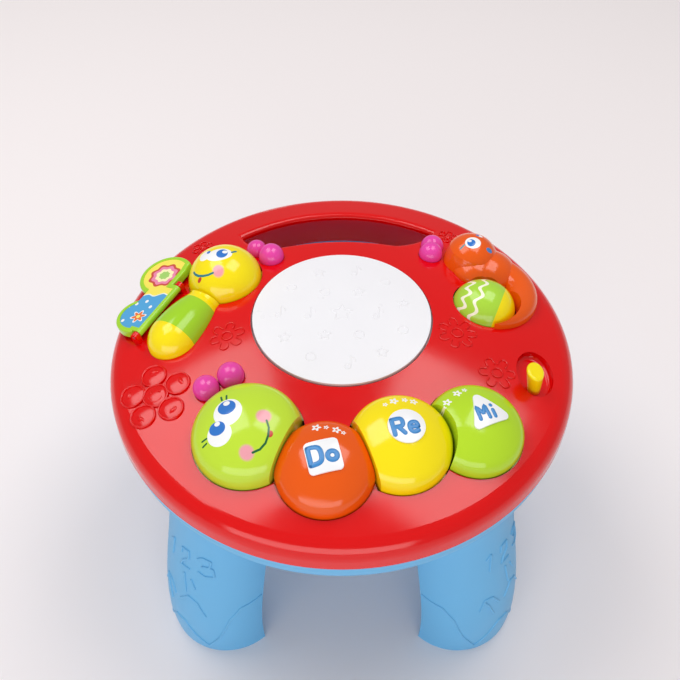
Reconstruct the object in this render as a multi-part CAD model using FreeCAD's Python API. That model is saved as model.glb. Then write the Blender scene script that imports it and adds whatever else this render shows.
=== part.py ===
import FreeCAD, Part

import math
import os

# Musical activity table for babies. Millimetres, +Z up, the child sits at -Y.
# The origin is on the floor, under the middle of the round top.

# Round top: a shallow dome with a rounded shoulder and a short lip
RIM_RADIUS = 165.0
RIM_HEIGHT = 190.0
DOME_RISE = 39.5
DOME_RADIUS = 560.0
SHOULDER_RADIUS = 14.0
LIP_DROP = 4.0
SHELL_WALL = 2.5

# Tray that closes the top from below
TRAY_OVERHANG = 1.8
TRAY_RADIUS = RIM_RADIUS - TRAY_OVERHANG
TRAY_DEPTH = 22.0
TRAY_CORNER = 14.0
TRAY_WALL = 2.5
LOCATING_RING_HEIGHT = 4.0
LOCATING_RING_WALL = 2.4
LOCATING_CLEARANCE = 0.3

# Hand hole at the back, a banana shape between the drum pad and the bar
HAND_HOLE_BACK_RADIUS = 132.0
HAND_HOLE_LEFT_ANGLE = 125.5
HAND_HOLE_RIGHT_ANGLE = 58.0
HAND_HOLE_LEFT_TURN = (-66.5, 93.5)
HAND_HOLE_LEFT_DIP = (-48.0, 88.5)
HAND_HOLE_BULGE = (-4.0, 94.5)
HAND_HOLE_RIGHT_DIP = (40.0, 91.0)
HAND_HOLE_RIGHT_TURN = (58.0, 98.0)
HAND_HOLE_ROUNDING = 4.0

# Drum pad
PAD_RADIUS = 62.9
PAD_Y = 11.0
PAD_RISE = 1.2
PAD_WALL = 2.6
PAD_GAP = 1.3
PAD_TRAVEL = 2.0
PAD_STEM_RADIUS = 5.0

# Press keys: plan centre, radius and height of each bubble above the top
HEAD_PLACE = (-60.7, -87.7)
HEAD_RADIUS = 36.8
HEAD_HEIGHT = 25.0
DO_PLACE = (-10.6, -112.6)
DO_RADIUS = 32.4
DO_HEIGHT = 21.0
RE_PLACE = (37.4, -95.0)
RE_RADIUS = 34.0
RE_HEIGHT = 21.0
MI_PLACE = (86.5, -82.0)
MI_RADIUS = 32.8
MI_HEIGHT = 20.0
KEY_TRAVEL = 3.0
KEY_WALL = 2.0
KEY_GAP = 0.8
KEY_SKIRT = 8.5
KEY_STEM_RADIUS = 4.0

# Difference between a bubble's height and the rounding of its rim
BUBBLE_FLATNESS = 6.0

# Borders between neighbouring keys, each through two plan points
HEAD_DO_BORDER = ((-26.0, -79.0), (-43.0, -117.0))
DO_RE_BORDER = ((7.0, -83.0), (24.0, -126.0))

# Flange that keeps a pressed piece in the shell
FLANGE_REACH = 2.6
FLANGE_THICKNESS = 1.6
FLANGE_CLEARANCE = 0.4

# Raised labels on the keys, each set off from the middle of its key
LABEL_THICKNESS = 1.2
LABEL_CORNER = 3.0
SQUARE_LABEL_OFFSET = (-0.2, 0.8)
SQUARE_LABEL_SIDE = 21.8
SQUARE_LABEL_TURN = 13.4
CIRCLE_LABEL_OFFSET = (1.8, 3.6)
CIRCLE_LABEL_RADIUS = 12.0
TRIANGLE_LABEL_OFFSET = (3.1, 4.1)
TRIANGLE_LABEL_REACH = 17.5
TRIANGLE_LABEL_TURN = 28.0

# Butterfly head and body
BUTTERFLY_HEAD_PLACE = (-86.0, 54.6)
BUTTERFLY_HEAD_RADIUS = 27.0
BUTTERFLY_HEAD_HEIGHT = 24.5
BUTTERFLY_COLLAR_PLACE = (-101.0, 29.9)
BUTTERFLY_HEADING = -120.0
BUTTERFLY_NECK_RADIUS = 13.0
BUTTERFLY_BELLY_RADIUS = 18.5
BUTTERFLY_SWELL = 1.6
BUTTERFLY_BARREL_LENGTH = 35.0
BUTTERFLY_TAIL_LENGTH = 20.0
BUTTERFLY_COLLAR_REACH = 4.5
BODY_SINK = 2.5
BODY_WALL = 2.2
BODY_FIT = 0.2
BODY_DEPTH = 4.0

# Butterfly wing: a flat plate on a hinge beside the body, in its own plane
WING_PLACE = (-138.0, 38.0)
WING_LIFT = 1.6
WING_THICKNESS = 6.0
WING_ROUNDING = 1.6
WING_HINGE_OFFSET = 23.5
WING_LOWER_LOBE = (-19.0, -3.0, 16.5)
WING_UPPER_LOBE = (23.0, 3.0, 20.5)
WING_BRIDGE = (-26.0, 30.0, 6.0)
WING_KNUCKLE_SPAN = (-33.0, 15.5)
WING_KNUCKLE_RADIUS = 3.0
WING_PIN_RADIUS = 1.25
WING_PIN_CLEARANCE = 0.05
WING_EAR_LENGTH = 4.0
WING_EAR_GAP = 0.4
WING_HEAD_GAP = 2.0
WING_SHEET_INSET = 3.4
WING_SHEET_THICKNESS = 0.4
WING_SHEET_DEPTH = 0.8

# Snail body: bubbles for head and neck, and a ring that tapers round the egg
SNAIL_HEAD_PLACE = (96.4, 76.1)
SNAIL_HEAD_RADIUS = 20.1
SNAIL_HEAD_HEIGHT = 22.6
SNAIL_NECK_PLACE = (111.0, 68.0)
SNAIL_NECK_RADIUS = 21.0
SNAIL_NECK_HEIGHT = 15.0
SNAIL_CHEST_PLACE = (101.0, 67.0)
SNAIL_CHEST_RADIUS = 19.0
SNAIL_CHEST_HEIGHT = 13.5
SNAIL_SKIRT = 6.0
SNAIL_RING_PLACE = (105.0, 45.0)
SNAIL_RING_RADIUS = 28.0
SNAIL_RING_HALF_WIDTH = 11.5
SNAIL_RING_HEIGHT = 10.0
SNAIL_RING_START = (112.0, -20.0)
SNAIL_RING_END = (98.0, 66.0)
SNAIL_WALL = 2.2

# Snail egg on its axle
EGG_PLACE = (104.0, 29.0)
EGG_HEADING = -20.0
EGG_RADIUS = 22.0
EGG_TIP_LENGTH = 24.0
EGG_BLUNT_LENGTH = 22.5
EGG_SEAM = 9.0
EGG_SINK = 5.0
EGG_WALL = 2.0
EGG_GAP = 0.8
AXLE_RADIUS = 1.5
AXLE_CLEARANCE = 0.05
BEARING_LENGTH = 4.0
BEARING_HALF_WIDTH = 3.5
BEARING_GAP = 0.5
BEARING_BOTTOM = 9.0

# Feelers: pairs of balls sunk in the shell, plan place and radius of each
WORM_FEELERS = ((-90.2, -50.0, 9.0), (-74.2, -41.5, 9.3))
BUTTERFLY_FEELERS = ((-64.0, 84.0, 7.4), (-52.5, 74.5, 9.4))
SNAIL_FEELERS = ((68.5, 89.0, 8.6), (66.8, 79.5, 8.8))
FEELER_RISE = 2.0
FEELER_FIT = 0.3
FEELER_BAR_RADIUS = 2.0
FEELER_BAR_DEPTH = 5.0

# Selector peg in its dish
DISH_PLACE = (133.0, -30.0)
DISH_HALF_WIDTH = 13.5
DISH_HALF_LENGTH = 19.0
DISH_DEPTH = 6.0
DISH_WALL = 2.0
PEG_TRAVEL = 14.0
PEG_START = -9.5
PEG_HEIGHT = 15.0
PEG_LEAN = 7.0
PEG_FOOT_RADIUS = 4.6
PEG_FLOOR_GAP = 0.4
PEG_TOP_HALF_WIDTH = 6.3
PEG_TOP_HALF_LENGTH = 8.0
PEG_TOP_ROUNDING = 1.5
PEG_NECK_RADIUS = 2.2
PEG_SLOT_CLEARANCE = 0.4
PEG_PLATE_RADIUS = 4.0
PEG_PLATE_THICKNESS = 1.6
SWITCH_SIZE = (9.0, 24.0, 5.0)

# Legs: D shaped sections, flat side inwards. Each row is height above the
# floor, distance of the flat side, distance of the outer face, half width.
LEG_ANGLE = 45.0
LEG_WALL = 3.0
LEG_SECTIONS = (
    (0.0, 129.0, 171.5, 44.0),
    (48.0, 128.0, 171.5, 43.5),
    (80.0, 123.0, 166.5, 43.0),
    (110.0, 117.0, 160.5, 42.0),
    (176.0, 111.0, 155.0, 41.0),
)
LEG_SIDE_WALL = 3.6
LEG_FLOOR_THICKNESS = 3.0
LEG_TOP_PLATE = 3.0
LEG_COLLAR_U = 131.0
LEG_COLLAR_RADIUS = 14.0
LEG_COLLAR_WALL = 2.5
LEG_COLLAR_RISE = 6.0
LEG_COLLAR_CLEARANCE = 0.3
LEG_CATCH_REACH = 1.4
LEG_CATCH_HEIGHT = 2.0
LEG_CATCH_CLEARANCE = 0.2

# Screws that join shell and tray, between the toys: distance in from the rim
# and angle of each
CASE_SCREWS = (
    (18.0, 0.8),
    (19.1, 61.3),
    (16.9, 92.3),
    (18.5, 125.0),
    (27.6, 201.3),
    (15.7, 249.6),
    (15.7, 290.4),
)
BOSS_RADIUS = 4.5
BOSS_SPLIT_HEIGHT = 190.0
SCREW_RADIUS = 1.4
SCREW_HEAD_RADIUS = 2.9
SCREW_HEAD_HEIGHT = 2.0
SCREW_CLEARANCE = 0.1
SCREW_WELL_RADIUS = 3.3
SCREW_SEAT = 3.0
CASE_SCREW_LENGTH = 12.0

# Battery box, door and cells
CELL_RADIUS = 7.25
CELL_LENGTH = 50.5
CELL_COUNT = 3
CELL_CLEARANCE = 0.4
CELL_NUB_RADIUS = 2.7
CELL_NUB_HEIGHT = 1.2
CONTACT_THICKNESS = 0.8
CONTACT_HALF_WIDTH = 4.5
CONTACT_SPRING_RADIUS = 3.5
CONTACT_SPRING_TIP_RADIUS = 1.5
BATTERY_PLACE = (0.0, -12.0)
BATTERY_WALL = 2.0
BATTERY_END_ROOM = 3.0
DOOR_CLEARANCE = 0.4
DOOR_SCREW_LENGTH = 6.0
DOOR_BOSS_HEIGHT = 8.0
DOOR_HEAD_DEPTH = 1.5

# Boards and their posts
BOARD_THICKNESS = 1.6
BOARD_POST_RADIUS = 3.5
BOARD_SCREW_LENGTH = 6.0
BOARD_HOLE_CLEARANCE = 0.3
MAIN_BOARD_PLACE = (84.0, -20.0)
MAIN_BOARD_SIZE = (46.0, 56.0)
MAIN_BOARD_HEIGHT = 174.0
BOARD_HOLE_INSET = 4.5

# On the main board: sealed chip (foot radius, top radius, height), capacitors
# (x and y from the board's middle, radius, height) and a row of plugs
CHIP_BLOB_SIZE = (7.0, 4.0, 1.6)
CHIP_OFFSET = (-4.0, 2.0)
CAPACITORS = ((12.0, 6.0, 3.0, 8.0), (12.0, -4.0, 2.5, 6.0))
PLUG_ROW_SIZE = (20.0, 5.0, 5.0)
PLUG_ROW_OFFSET = -17.5

# Boards under the keys, the drum pad and the butterfly's head
KEY_BOARD_HEIGHT = 187.0
KEY_BOARD_BACK_RADIUS = 84.0
KEY_BOARD_FRONT_RADIUS = 132.0
KEY_BOARD_LEFT_ANGLE = 222.0
KEY_BOARD_RIGHT_ANGLE = 326.0
KEY_BOARD_POSTS = ((-37.0, -97.0), (14.0, -98.0), (60.0, -75.0), (40.0, -121.0))
LIGHT_BOARD_RADIUS = 42.0
LIGHT_BOARD_HEIGHT = 203.0
LIGHT_BOARD_POST_CIRCLE = 37.0
LIGHT_BOARD_POST_ANGLES = (-35.0, 35.0, 145.0, 215.0)
BUTTERFLY_BOARD_HEIGHT = 196.0
BUTTERFLY_BOARD_RADIUS = 15.0
BUTTERFLY_BOARD_POST_SPREAD = 11.5
CONTACT_DOME_RADIUS = 4.5
CONTACT_CLEARANCE = 0.4
CONTACT_SPARE_HEIGHT = 2.0
PAD_CONTACT_SPARE_HEIGHT = 6.0
LED_RADIUS = 2.5
LED_BODY_HEIGHT = 6.0
LED_CIRCLE_RADIUS = 24.0
LED_COUNT = 3

# Loudspeaker, facing down through holes in the tray
SPEAKER_PLACE = (-84.0, 2.0)
SPEAKER_RADIUS = 25.0
SPEAKER_DEPTH = 9.0
SPEAKER_SHEET = 1.0
SPEAKER_RIM_WIDTH = 3.0
MAGNET_RADIUS = 12.0
MAGNET_HEIGHT = 7.0
CONE_CLEARANCE = 0.2
CONE_THICKNESS = 0.6
SPEAKER_RING_WALL = 1.6
SPEAKER_RING_HEIGHT = 4.0
SPEAKER_FIT = 0.2
GRILLE_HOLE_RADIUS = 1.6
GRILLE_PITCH = 7.0

DOME_CENTRE_Z = RIM_HEIGHT + DOME_RISE - DOME_RADIUS
SHELL_BOTTOM = RIM_HEIGHT - LIP_DROP
TRAY_BOTTOM = SHELL_BOTTOM - TRAY_DEPTH
TRAY_FLOOR = TRAY_BOTTOM + TRAY_WALL
UP = FreeCAD.Vector(0, 0, 1)
FAR = 400.0


def vector(x, y, z=0.0):
    return FreeCAD.Vector(x, y, z)


def polar(radius, angle):
    return vector(radius * math.cos(angle), radius * math.sin(angle))


def case_screw_places():
    places = [polar(RIM_RADIUS - inset, math.radians(angle)) for inset, angle in CASE_SCREWS]
    return [(place.x, place.y) for place in places]


def cylinder(radius, low, high, x=0.0, y=0.0):
    return Part.makeCylinder(radius, high - low, vector(x, y, low))


def tube(radius, bore, low, high, x=0.0, y=0.0):
    return cylinder(radius, low, high, x, y).cut(cylinder(bore, low, high, x, y))


def box(x_low, x_high, y_low, y_high, z_low, z_high):
    return Part.makeBox(x_high - x_low, y_high - y_low, z_high - z_low, vector(x_low, y_low, z_low))


def prism(wire, low, high):
    """Upright solid over a closed wire that lies at z = 0."""
    face = Part.Face(wire)
    face.translate(vector(0, 0, low))
    return face.extrude(vector(0, 0, high - low))


def polygon(points):
    corners = [vector(x, y) for x, y in points]
    return Part.makePolygon(corners + corners[:1])


def line(a, b):
    return Part.LineSegment(a, b).toShape()


def arc(a, middle, b):
    return Part.Arc(a, middle, b).toShape()


def turn(edges, axis):
    """Full turn about an axis through the origin of a closed outline."""
    face = Part.Face(Part.Wire(Part.__sortEdges__(edges)))
    return face.revolve(vector(0, 0), axis, 360)


def quarter_ellipse(radius, height):
    """Quarter of an ellipse in the XY plane, from (radius, 0) to (0, height)."""
    if radius >= height:
        return Part.Ellipse(vector(0, 0), radius, height).toShape(0, math.pi / 2)
    edge = Part.Ellipse(vector(0, 0), height, radius).toShape(-math.pi / 2, 0)
    edge.rotate(vector(0, 0), UP, 90)
    return edge


def elliptical_prism(half_x, half_y, low, high):
    """Upright ellipse whose long side is along Y."""
    curve = Part.Ellipse(vector(0, 0), half_y, half_x).toShape()
    wire = Part.Wire(curve)
    wire.rotate(vector(0, 0), UP, 90)
    return prism(wire, low, high)


def bubble(radius, height, skirt):
    """Round crown that turns down to an upright rim at z = 0, on top of a skirt.

    The outline is two arcs that run into each other, so a bubble drawn in by a
    wall all over is again a bubble.
    """
    rounding = height - BUBBLE_FLATNESS
    crown = ((radius - rounding) ** 2 + height ** 2 - rounding ** 2) / (2 * (height - rounding))
    lean = math.asin((radius - rounding) / (crown - rounding))
    top = vector(0, height)
    middle = vector(crown * math.sin(lean / 2), height - crown + crown * math.cos(lean / 2))
    meet = vector(crown * math.sin(lean), height - crown + crown * math.cos(lean))
    half = (math.pi / 2 - lean) / 2
    bend = vector(radius - rounding + rounding * math.cos(half), rounding * math.sin(half))
    outline = [
        arc(top, middle, meet),
        arc(meet, bend, vector(radius, 0)),
        line(vector(radius, 0), vector(radius, -skirt)),
        line(vector(radius, -skirt), vector(0, -skirt)),
        line(vector(0, -skirt), top),
    ]
    shape = turn(outline, vector(0, 1))
    shape.rotate(vector(0, 0), vector(1, 0), 90)
    return shape


def dome_height(x, y):
    """Height of the outer face of the top above the floor at a plan point."""
    return DOME_CENTRE_Z + math.sqrt(DOME_RADIUS ** 2 - x * x - y * y)


def seat(x, y, heading=0.0):
    """Placement on the top at a plan point, Z square to its face, turned by heading."""
    normal = vector(x, y, dome_height(x, y) - DOME_CENTRE_Z)
    tilt = FreeCAD.Rotation(UP, normal)
    spin = FreeCAD.Rotation(UP, heading)
    return FreeCAD.Placement(vector(x, y, dome_height(x, y)), tilt.multiply(spin))


def seated(shape, place):
    moved = shape.copy()
    moved.Placement = place.multiply(shape.Placement)
    return moved


def axis_drop(place, low):
    """Distance down a seat's own axis from the top's face to a height above the floor."""
    top = dome_height(place[0], place[1])
    return (top - low) * DOME_RADIUS / (top - DOME_CENTRE_Z)


def half_space(point_a, point_b, side, shift):
    """Big upright block on one side of the plan line through two points."""
    ax, ay = point_a
    bx, by = point_b
    length = math.hypot(bx - ax, by - ay)
    along = vector((bx - ax) / length, (by - ay) / length)
    out = vector(-along.y * side, along.x * side)
    start = vector(ax, ay) - along * FAR + out * shift
    end = vector(ax, ay) + along * FAR + out * shift
    corners = [start, end, end + out * FAR, start + out * FAR]
    return prism(polygon([(c.x, c.y) for c in corners]), 0, FAR)


def dome_solid(depth, bottom):
    """Everything under the top's outer face, drawn in by a depth, down to a level."""
    ball = DOME_RADIUS - depth
    edge = RIM_RADIUS - depth
    shoulder = SHOULDER_RADIUS - depth
    corner_x = RIM_RADIUS - SHOULDER_RADIUS
    reach = DOME_RADIUS - SHOULDER_RADIUS
    corner_z = DOME_CENTRE_Z + math.sqrt(reach ** 2 - corner_x ** 2)
    lean = math.asin(corner_x / reach)
    top = vector(0, DOME_CENTRE_Z + ball)
    middle = vector(ball * math.sin(lean / 2), DOME_CENTRE_Z + ball * math.cos(lean / 2))
    meet = vector(ball * math.sin(lean), DOME_CENTRE_Z + ball * math.cos(lean))
    half = (math.pi / 2 - lean) / 2
    bend = vector(corner_x + shoulder * math.cos(half), corner_z + shoulder * math.sin(half))
    outline = [
        line(vector(0, bottom), vector(edge, bottom)),
        line(vector(edge, bottom), vector(edge, corner_z)),
        arc(vector(edge, corner_z), bend, meet),
        arc(meet, middle, top),
        line(top, vector(0, bottom)),
    ]
    shape = turn(outline, vector(0, 1))
    shape.rotate(vector(0, 0), vector(1, 0), 90)
    return shape


def tray_solid(depth, top):
    """Everything inside the tray's outer face, drawn in by a depth, up to a level."""
    edge = TRAY_RADIUS - depth
    bottom = TRAY_BOTTOM + depth
    corner = TRAY_CORNER - depth
    centre_x = TRAY_RADIUS - TRAY_CORNER
    centre_z = TRAY_BOTTOM + TRAY_CORNER
    bend = vector(centre_x + corner * math.sqrt(0.5), centre_z - corner * math.sqrt(0.5))
    outline = [
        line(vector(0, bottom), vector(centre_x, bottom)),
        arc(vector(centre_x, bottom), bend, vector(edge, centre_z)),
        line(vector(edge, centre_z), vector(edge, top)),
        line(vector(edge, top), vector(0, top)),
        line(vector(0, top), vector(0, bottom)),
    ]
    shape = turn(outline, vector(0, 1))
    shape.rotate(vector(0, 0), vector(1, 0), 90)
    return shape


def hand_hole_wire(spread):
    """Outline of the hand hole, spread outwards by a distance."""
    left_angle = math.radians(HAND_HOLE_LEFT_ANGLE)
    right_angle = math.radians(HAND_HOLE_RIGHT_ANGLE)
    radius = HAND_HOLE_BACK_RADIUS
    left = polar(radius, left_angle)
    right = polar(radius, right_angle)
    left_dip = vector(*HAND_HOLE_LEFT_DIP)
    right_dip = vector(*HAND_HOLE_RIGHT_DIP)
    edges = [
        arc(right, vector(0, radius), left),
        arc(left, vector(*HAND_HOLE_LEFT_TURN), left_dip),
        arc(left_dip, vector(*HAND_HOLE_BULGE), right_dip),
        arc(right_dip, vector(*HAND_HOLE_RIGHT_TURN), right),
    ]
    wire = Part.Wire(Part.__sortEdges__(edges))
    if spread:
        wire = wire.makeOffset2D(spread)
    return wire


def screw(length, x, y, head_low):
    """Screw pointing up, the underside of its head at the given height."""
    head = cylinder(SCREW_HEAD_RADIUS, head_low - SCREW_HEAD_HEIGHT, head_low, x, y)
    return head.fuse(cylinder(SCREW_RADIUS, head_low, head_low + length, x, y))


def hanging_screw(length, x, y, head_low):
    """Screw pointing down, the underside of its head at the given height."""
    head = cylinder(SCREW_HEAD_RADIUS, head_low, head_low + SCREW_HEAD_HEIGHT, x, y)
    return head.fuse(cylinder(SCREW_RADIUS, head_low - length, head_low, x, y))


# Press keys


def flange_top(radius):
    """Local height of a flange that clears the curved underside of the shell."""
    reach = radius + FLANGE_REACH
    sag = reach * reach / (2 * (DOME_RADIUS - SHELL_WALL))
    return -SHELL_WALL - sag - FLANGE_CLEARANCE


def flange(radius):
    top = flange_top(radius)
    return tube(radius + FLANGE_REACH, radius - KEY_WALL, top - FLANGE_THICKNESS, top)


def key_stem_end():
    return KEY_BOARD_HEIGHT + BOARD_THICKNESS + KEY_TRAVEL + CONTACT_SPARE_HEIGHT + CONTACT_CLEARANCE


def key_stem(place, radius, height, stem_end):
    """Stem from inside a key's roof down to a height above the floor."""
    drop = axis_drop(place, stem_end)
    post = cylinder(KEY_STEM_RADIUS, -drop, height - KEY_WALL / 2)
    roof = bubble(radius - KEY_WALL / 2, height - KEY_WALL / 2, drop + 1)
    return seated(post.common(roof), seat(*place))


def key_forms(place, radius, height):
    """Outer form, hollow and flange of a whole round key in its place."""
    spot = seat(*place)
    outer = seated(bubble(radius, height, KEY_SKIRT), spot)
    hollow = seated(bubble(radius - KEY_WALL, height - KEY_WALL, KEY_SKIRT + 1), spot)
    return outer, hollow, seated(flange(radius), spot)


def beside_key(place, radius):
    """Round block through the shell over and under a key's plan."""
    return seated(cylinder(radius, -FAR / 4, FAR / 4), seat(*place))


def make_head_key():
    outer, hollow, ring = key_forms(HEAD_PLACE, HEAD_RADIUS, HEAD_HEIGHT)
    room = half_space(*HEAD_DO_BORDER, -1, KEY_GAP / 2)
    inner_room = half_space(*HEAD_DO_BORDER, -1, KEY_GAP / 2 + KEY_WALL)
    stem = key_stem(HEAD_PLACE, HEAD_RADIUS, HEAD_HEIGHT, key_stem_end())
    crown = outer.common(room).cut(hollow.common(inner_room))
    return crown.fuse([ring.common(room), stem]).removeSplitter()


def make_do_key():
    outer, hollow, ring = key_forms(DO_PLACE, DO_RADIUS, DO_HEIGHT)
    room = half_space(*HEAD_DO_BORDER, 1, KEY_GAP / 2)
    room = room.common(half_space(*DO_RE_BORDER, -1, KEY_GAP / 2))
    inner_room = half_space(*HEAD_DO_BORDER, 1, KEY_GAP / 2 + KEY_WALL)
    inner_room = inner_room.common(half_space(*DO_RE_BORDER, -1, KEY_GAP / 2 + KEY_WALL))
    stem = key_stem(DO_PLACE, DO_RADIUS, DO_HEIGHT, key_stem_end())
    crown = outer.common(room).cut(hollow.common(inner_room))
    return crown.fuse([ring.common(room), stem]).removeSplitter()


def make_re_key():
    outer, hollow, ring = key_forms(RE_PLACE, RE_RADIUS, RE_HEIGHT)
    room = half_space(*DO_RE_BORDER, 1, KEY_GAP / 2)
    inner_room = half_space(*DO_RE_BORDER, 1, KEY_GAP / 2 + KEY_WALL)
    mi_room = beside_key(MI_PLACE, MI_RADIUS + FLANGE_REACH + KEY_GAP)
    mi_room = mi_room.cut(beside_key(RE_PLACE, RE_RADIUS))
    stem = key_stem(RE_PLACE, RE_RADIUS, RE_HEIGHT, key_stem_end())
    crown = outer.common(room).cut(hollow.common(inner_room))
    return crown.fuse([ring.common(room).cut(mi_room), stem]).removeSplitter()


def make_mi_key():
    outer, hollow, ring = key_forms(MI_PLACE, MI_RADIUS, MI_HEIGHT)
    re_room = beside_key(RE_PLACE, RE_RADIUS + KEY_GAP)
    re_wall = beside_key(RE_PLACE, RE_RADIUS + KEY_GAP + KEY_WALL)
    stem = key_stem(MI_PLACE, MI_RADIUS, MI_HEIGHT, key_stem_end())
    crown = outer.cut(re_room).cut(hollow.cut(re_wall))
    return crown.fuse([ring.cut(re_room), stem]).removeSplitter()


def key_openings():
    """What the four keys take out of the shell."""
    plan = (
        (HEAD_PLACE, HEAD_RADIUS),
        (DO_PLACE, DO_RADIUS),
        (RE_PLACE, RE_RADIUS),
        (MI_PLACE, MI_RADIUS),
    )
    return [beside_key(place, radius + KEY_GAP) for place, radius in plan]


# Labels


def rounded_prism(points, low, high):
    solid = prism(polygon(points), low, high)
    upright = [edge for edge in solid.Edges if abs(edge.tangentAt(edge.FirstParameter).z) > 0.99]
    return solid.makeFillet(LABEL_CORNER, upright)


def label(block, offset, heading, key_place, radius, height):
    """Thin tile of a block's outline that lies on its key's bubble."""
    block.rotate(vector(0, 0), UP, heading)
    block.translate(vector(*offset))
    skin = bubble(radius + LABEL_THICKNESS, height + LABEL_THICKNESS, KEY_SKIRT)
    core = bubble(radius, height, KEY_SKIRT)
    return seated(block.common(skin).cut(core), seat(*key_place))


def make_square_label():
    half = SQUARE_LABEL_SIDE / 2
    corners = [(-half, -half), (half, -half), (half, half), (-half, half)]
    block = rounded_prism(corners, 0, FAR / 8)
    return label(block, SQUARE_LABEL_OFFSET, SQUARE_LABEL_TURN, DO_PLACE, DO_RADIUS, DO_HEIGHT)


def make_circle_label():
    block = cylinder(CIRCLE_LABEL_RADIUS, 0, FAR / 8)
    return label(block, CIRCLE_LABEL_OFFSET, 0, RE_PLACE, RE_RADIUS, RE_HEIGHT)


def make_triangle_label():
    corners = []
    for step in range(3):
        corner = polar(TRIANGLE_LABEL_REACH, math.radians(90 + 120 * step))
        corners.append((corner.x, corner.y))
    block = rounded_prism(corners, 0, FAR / 8)
    return label(block, TRIANGLE_LABEL_OFFSET, TRIANGLE_LABEL_TURN, MI_PLACE, MI_RADIUS, MI_HEIGHT)


# Drum pad


def pad_flange_top():
    """Height that clears the lowest part of the shell's underside round the pad."""
    reach = PAD_Y + PAD_RADIUS + FLANGE_REACH
    underside = math.sqrt((DOME_RADIUS - SHELL_WALL) ** 2 - reach ** 2)
    return DOME_CENTRE_Z + underside - FLANGE_CLEARANCE


def pad_stem_end():
    top_of_board = LIGHT_BOARD_HEIGHT + BOARD_THICKNESS
    return top_of_board + PAD_TRAVEL + PAD_CONTACT_SPARE_HEIGHT + CONTACT_CLEARANCE


def make_drum_pad():
    top = dome_solid(-PAD_RISE, TRAY_FLOOR)
    under = dome_solid(PAD_WALL - PAD_RISE, TRAY_BOTTOM)
    plate = top.cut(under).common(cylinder(PAD_RADIUS, TRAY_FLOOR, FAR, 0, PAD_Y))
    skirt_bottom = pad_flange_top() - FLANGE_THICKNESS
    inside = PAD_RADIUS - KEY_WALL
    skirt = tube(PAD_RADIUS, inside, skirt_bottom, FAR, 0, PAD_Y).common(dome_solid(0, TRAY_FLOOR))
    ring = tube(PAD_RADIUS + FLANGE_REACH, inside, skirt_bottom, pad_flange_top(), 0, PAD_Y)
    post = cylinder(PAD_STEM_RADIUS, pad_stem_end(), FAR, 0, PAD_Y)
    post = post.common(dome_solid(PAD_WALL / 2, TRAY_FLOOR))
    return plate.fuse([skirt, ring, post]).removeSplitter()


# Butterfly


def body_frame():
    """Axis of the butterfly's body: X from the neck to the tail, a little sunk."""
    x, y = BUTTERFLY_COLLAR_PLACE
    angle = math.radians(BUTTERFLY_HEADING)
    middle = BUTTERFLY_BARREL_LENGTH / 2
    spot = seat(x + middle * math.cos(angle), y + middle * math.sin(angle), BUTTERFLY_HEADING)
    back = FreeCAD.Placement(vector(-middle, 0, -BODY_SINK), FreeCAD.Rotation())
    return spot.multiply(back)


def barrel(grow, start, collar=0.0):
    """Barrel about X from a start to the tail, with a straight collar before it."""
    neck = BUTTERFLY_NECK_RADIUS + grow
    belly = BUTTERFLY_BELLY_RADIUS + grow
    swell = (neck + belly) / 2 + BUTTERFLY_SWELL
    length = BUTTERFLY_BARREL_LENGTH
    edges = [
        line(vector(start, 0), vector(start, neck)),
        arc(vector(start, neck), vector((start + length) / 2, swell), vector(length, belly)),
        line(vector(length, belly), vector(length, 0)),
        line(vector(length, 0), vector(start, 0)),
    ]
    whole = turn(edges, vector(1, 0))
    if collar:
        whole = whole.fuse(rod_along_x(neck, start - collar, start, 0, 0))
    return whole


def tail(grow):
    belly = BUTTERFLY_BELLY_RADIUS + grow
    reach = BUTTERFLY_TAIL_LENGTH + grow
    edges = [
        quarter_ellipse(reach, belly),
        line(vector(0, belly), vector(0, 0)),
        line(vector(0, 0), vector(reach, 0)),
    ]
    shape = turn(edges, vector(1, 0))
    shape.translate(vector(BUTTERFLY_BARREL_LENGTH, 0))
    return shape


def body_half():
    """Block that keeps what lies above a depth under the body's axis."""
    return box(-FAR, FAR, -FAR, FAR, -BODY_DEPTH, FAR)


def butterfly_head_room():
    return beside_key(BUTTERFLY_HEAD_PLACE, BUTTERFLY_HEAD_RADIUS + KEY_GAP)


def make_butterfly_body():
    half = barrel(0, 0, BUTTERFLY_COLLAR_REACH).cut(barrel(-BODY_WALL, BODY_WALL)).common(body_half())
    return seated(half, body_frame()).cut(butterfly_head_room())


def make_butterfly_tail():
    half = tail(0).cut(tail(-BODY_WALL)).common(body_half())
    return seated(half, body_frame())


def body_room():
    """What the butterfly's fixed body takes out of the shell."""
    whole = barrel(BODY_FIT, 0, BUTTERFLY_COLLAR_REACH + BODY_FIT).fuse(tail(BODY_FIT))
    return seated(whole, body_frame())


def butterfly_stem_end():
    top_of_board = BUTTERFLY_BOARD_HEIGHT + BOARD_THICKNESS
    return top_of_board + KEY_TRAVEL + CONTACT_SPARE_HEIGHT + CONTACT_CLEARANCE


def make_butterfly_head():
    place = BUTTERFLY_HEAD_PLACE
    outer, hollow, ring = key_forms(place, BUTTERFLY_HEAD_RADIUS, BUTTERFLY_HEAD_HEIGHT)
    reach = BUTTERFLY_BELLY_RADIUS + KEY_GAP
    under_body = seated(box(-FAR / 4, FAR / 4, -reach, reach, -FAR / 8, FAR / 8), body_frame())
    under_body = under_body.cut(beside_key(place, BUTTERFLY_HEAD_RADIUS))
    stem = key_stem(place, BUTTERFLY_HEAD_RADIUS, BUTTERFLY_HEAD_HEIGHT, butterfly_stem_end())
    return outer.cut(hollow).fuse([ring.cut(under_body), stem]).removeSplitter()


# Wing


def wing_frame():
    """Plane of the wing: X along the hinge to the back, Y away from the body."""
    return seat(WING_PLACE[0], WING_PLACE[1], BUTTERFLY_HEADING + 180)


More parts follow.
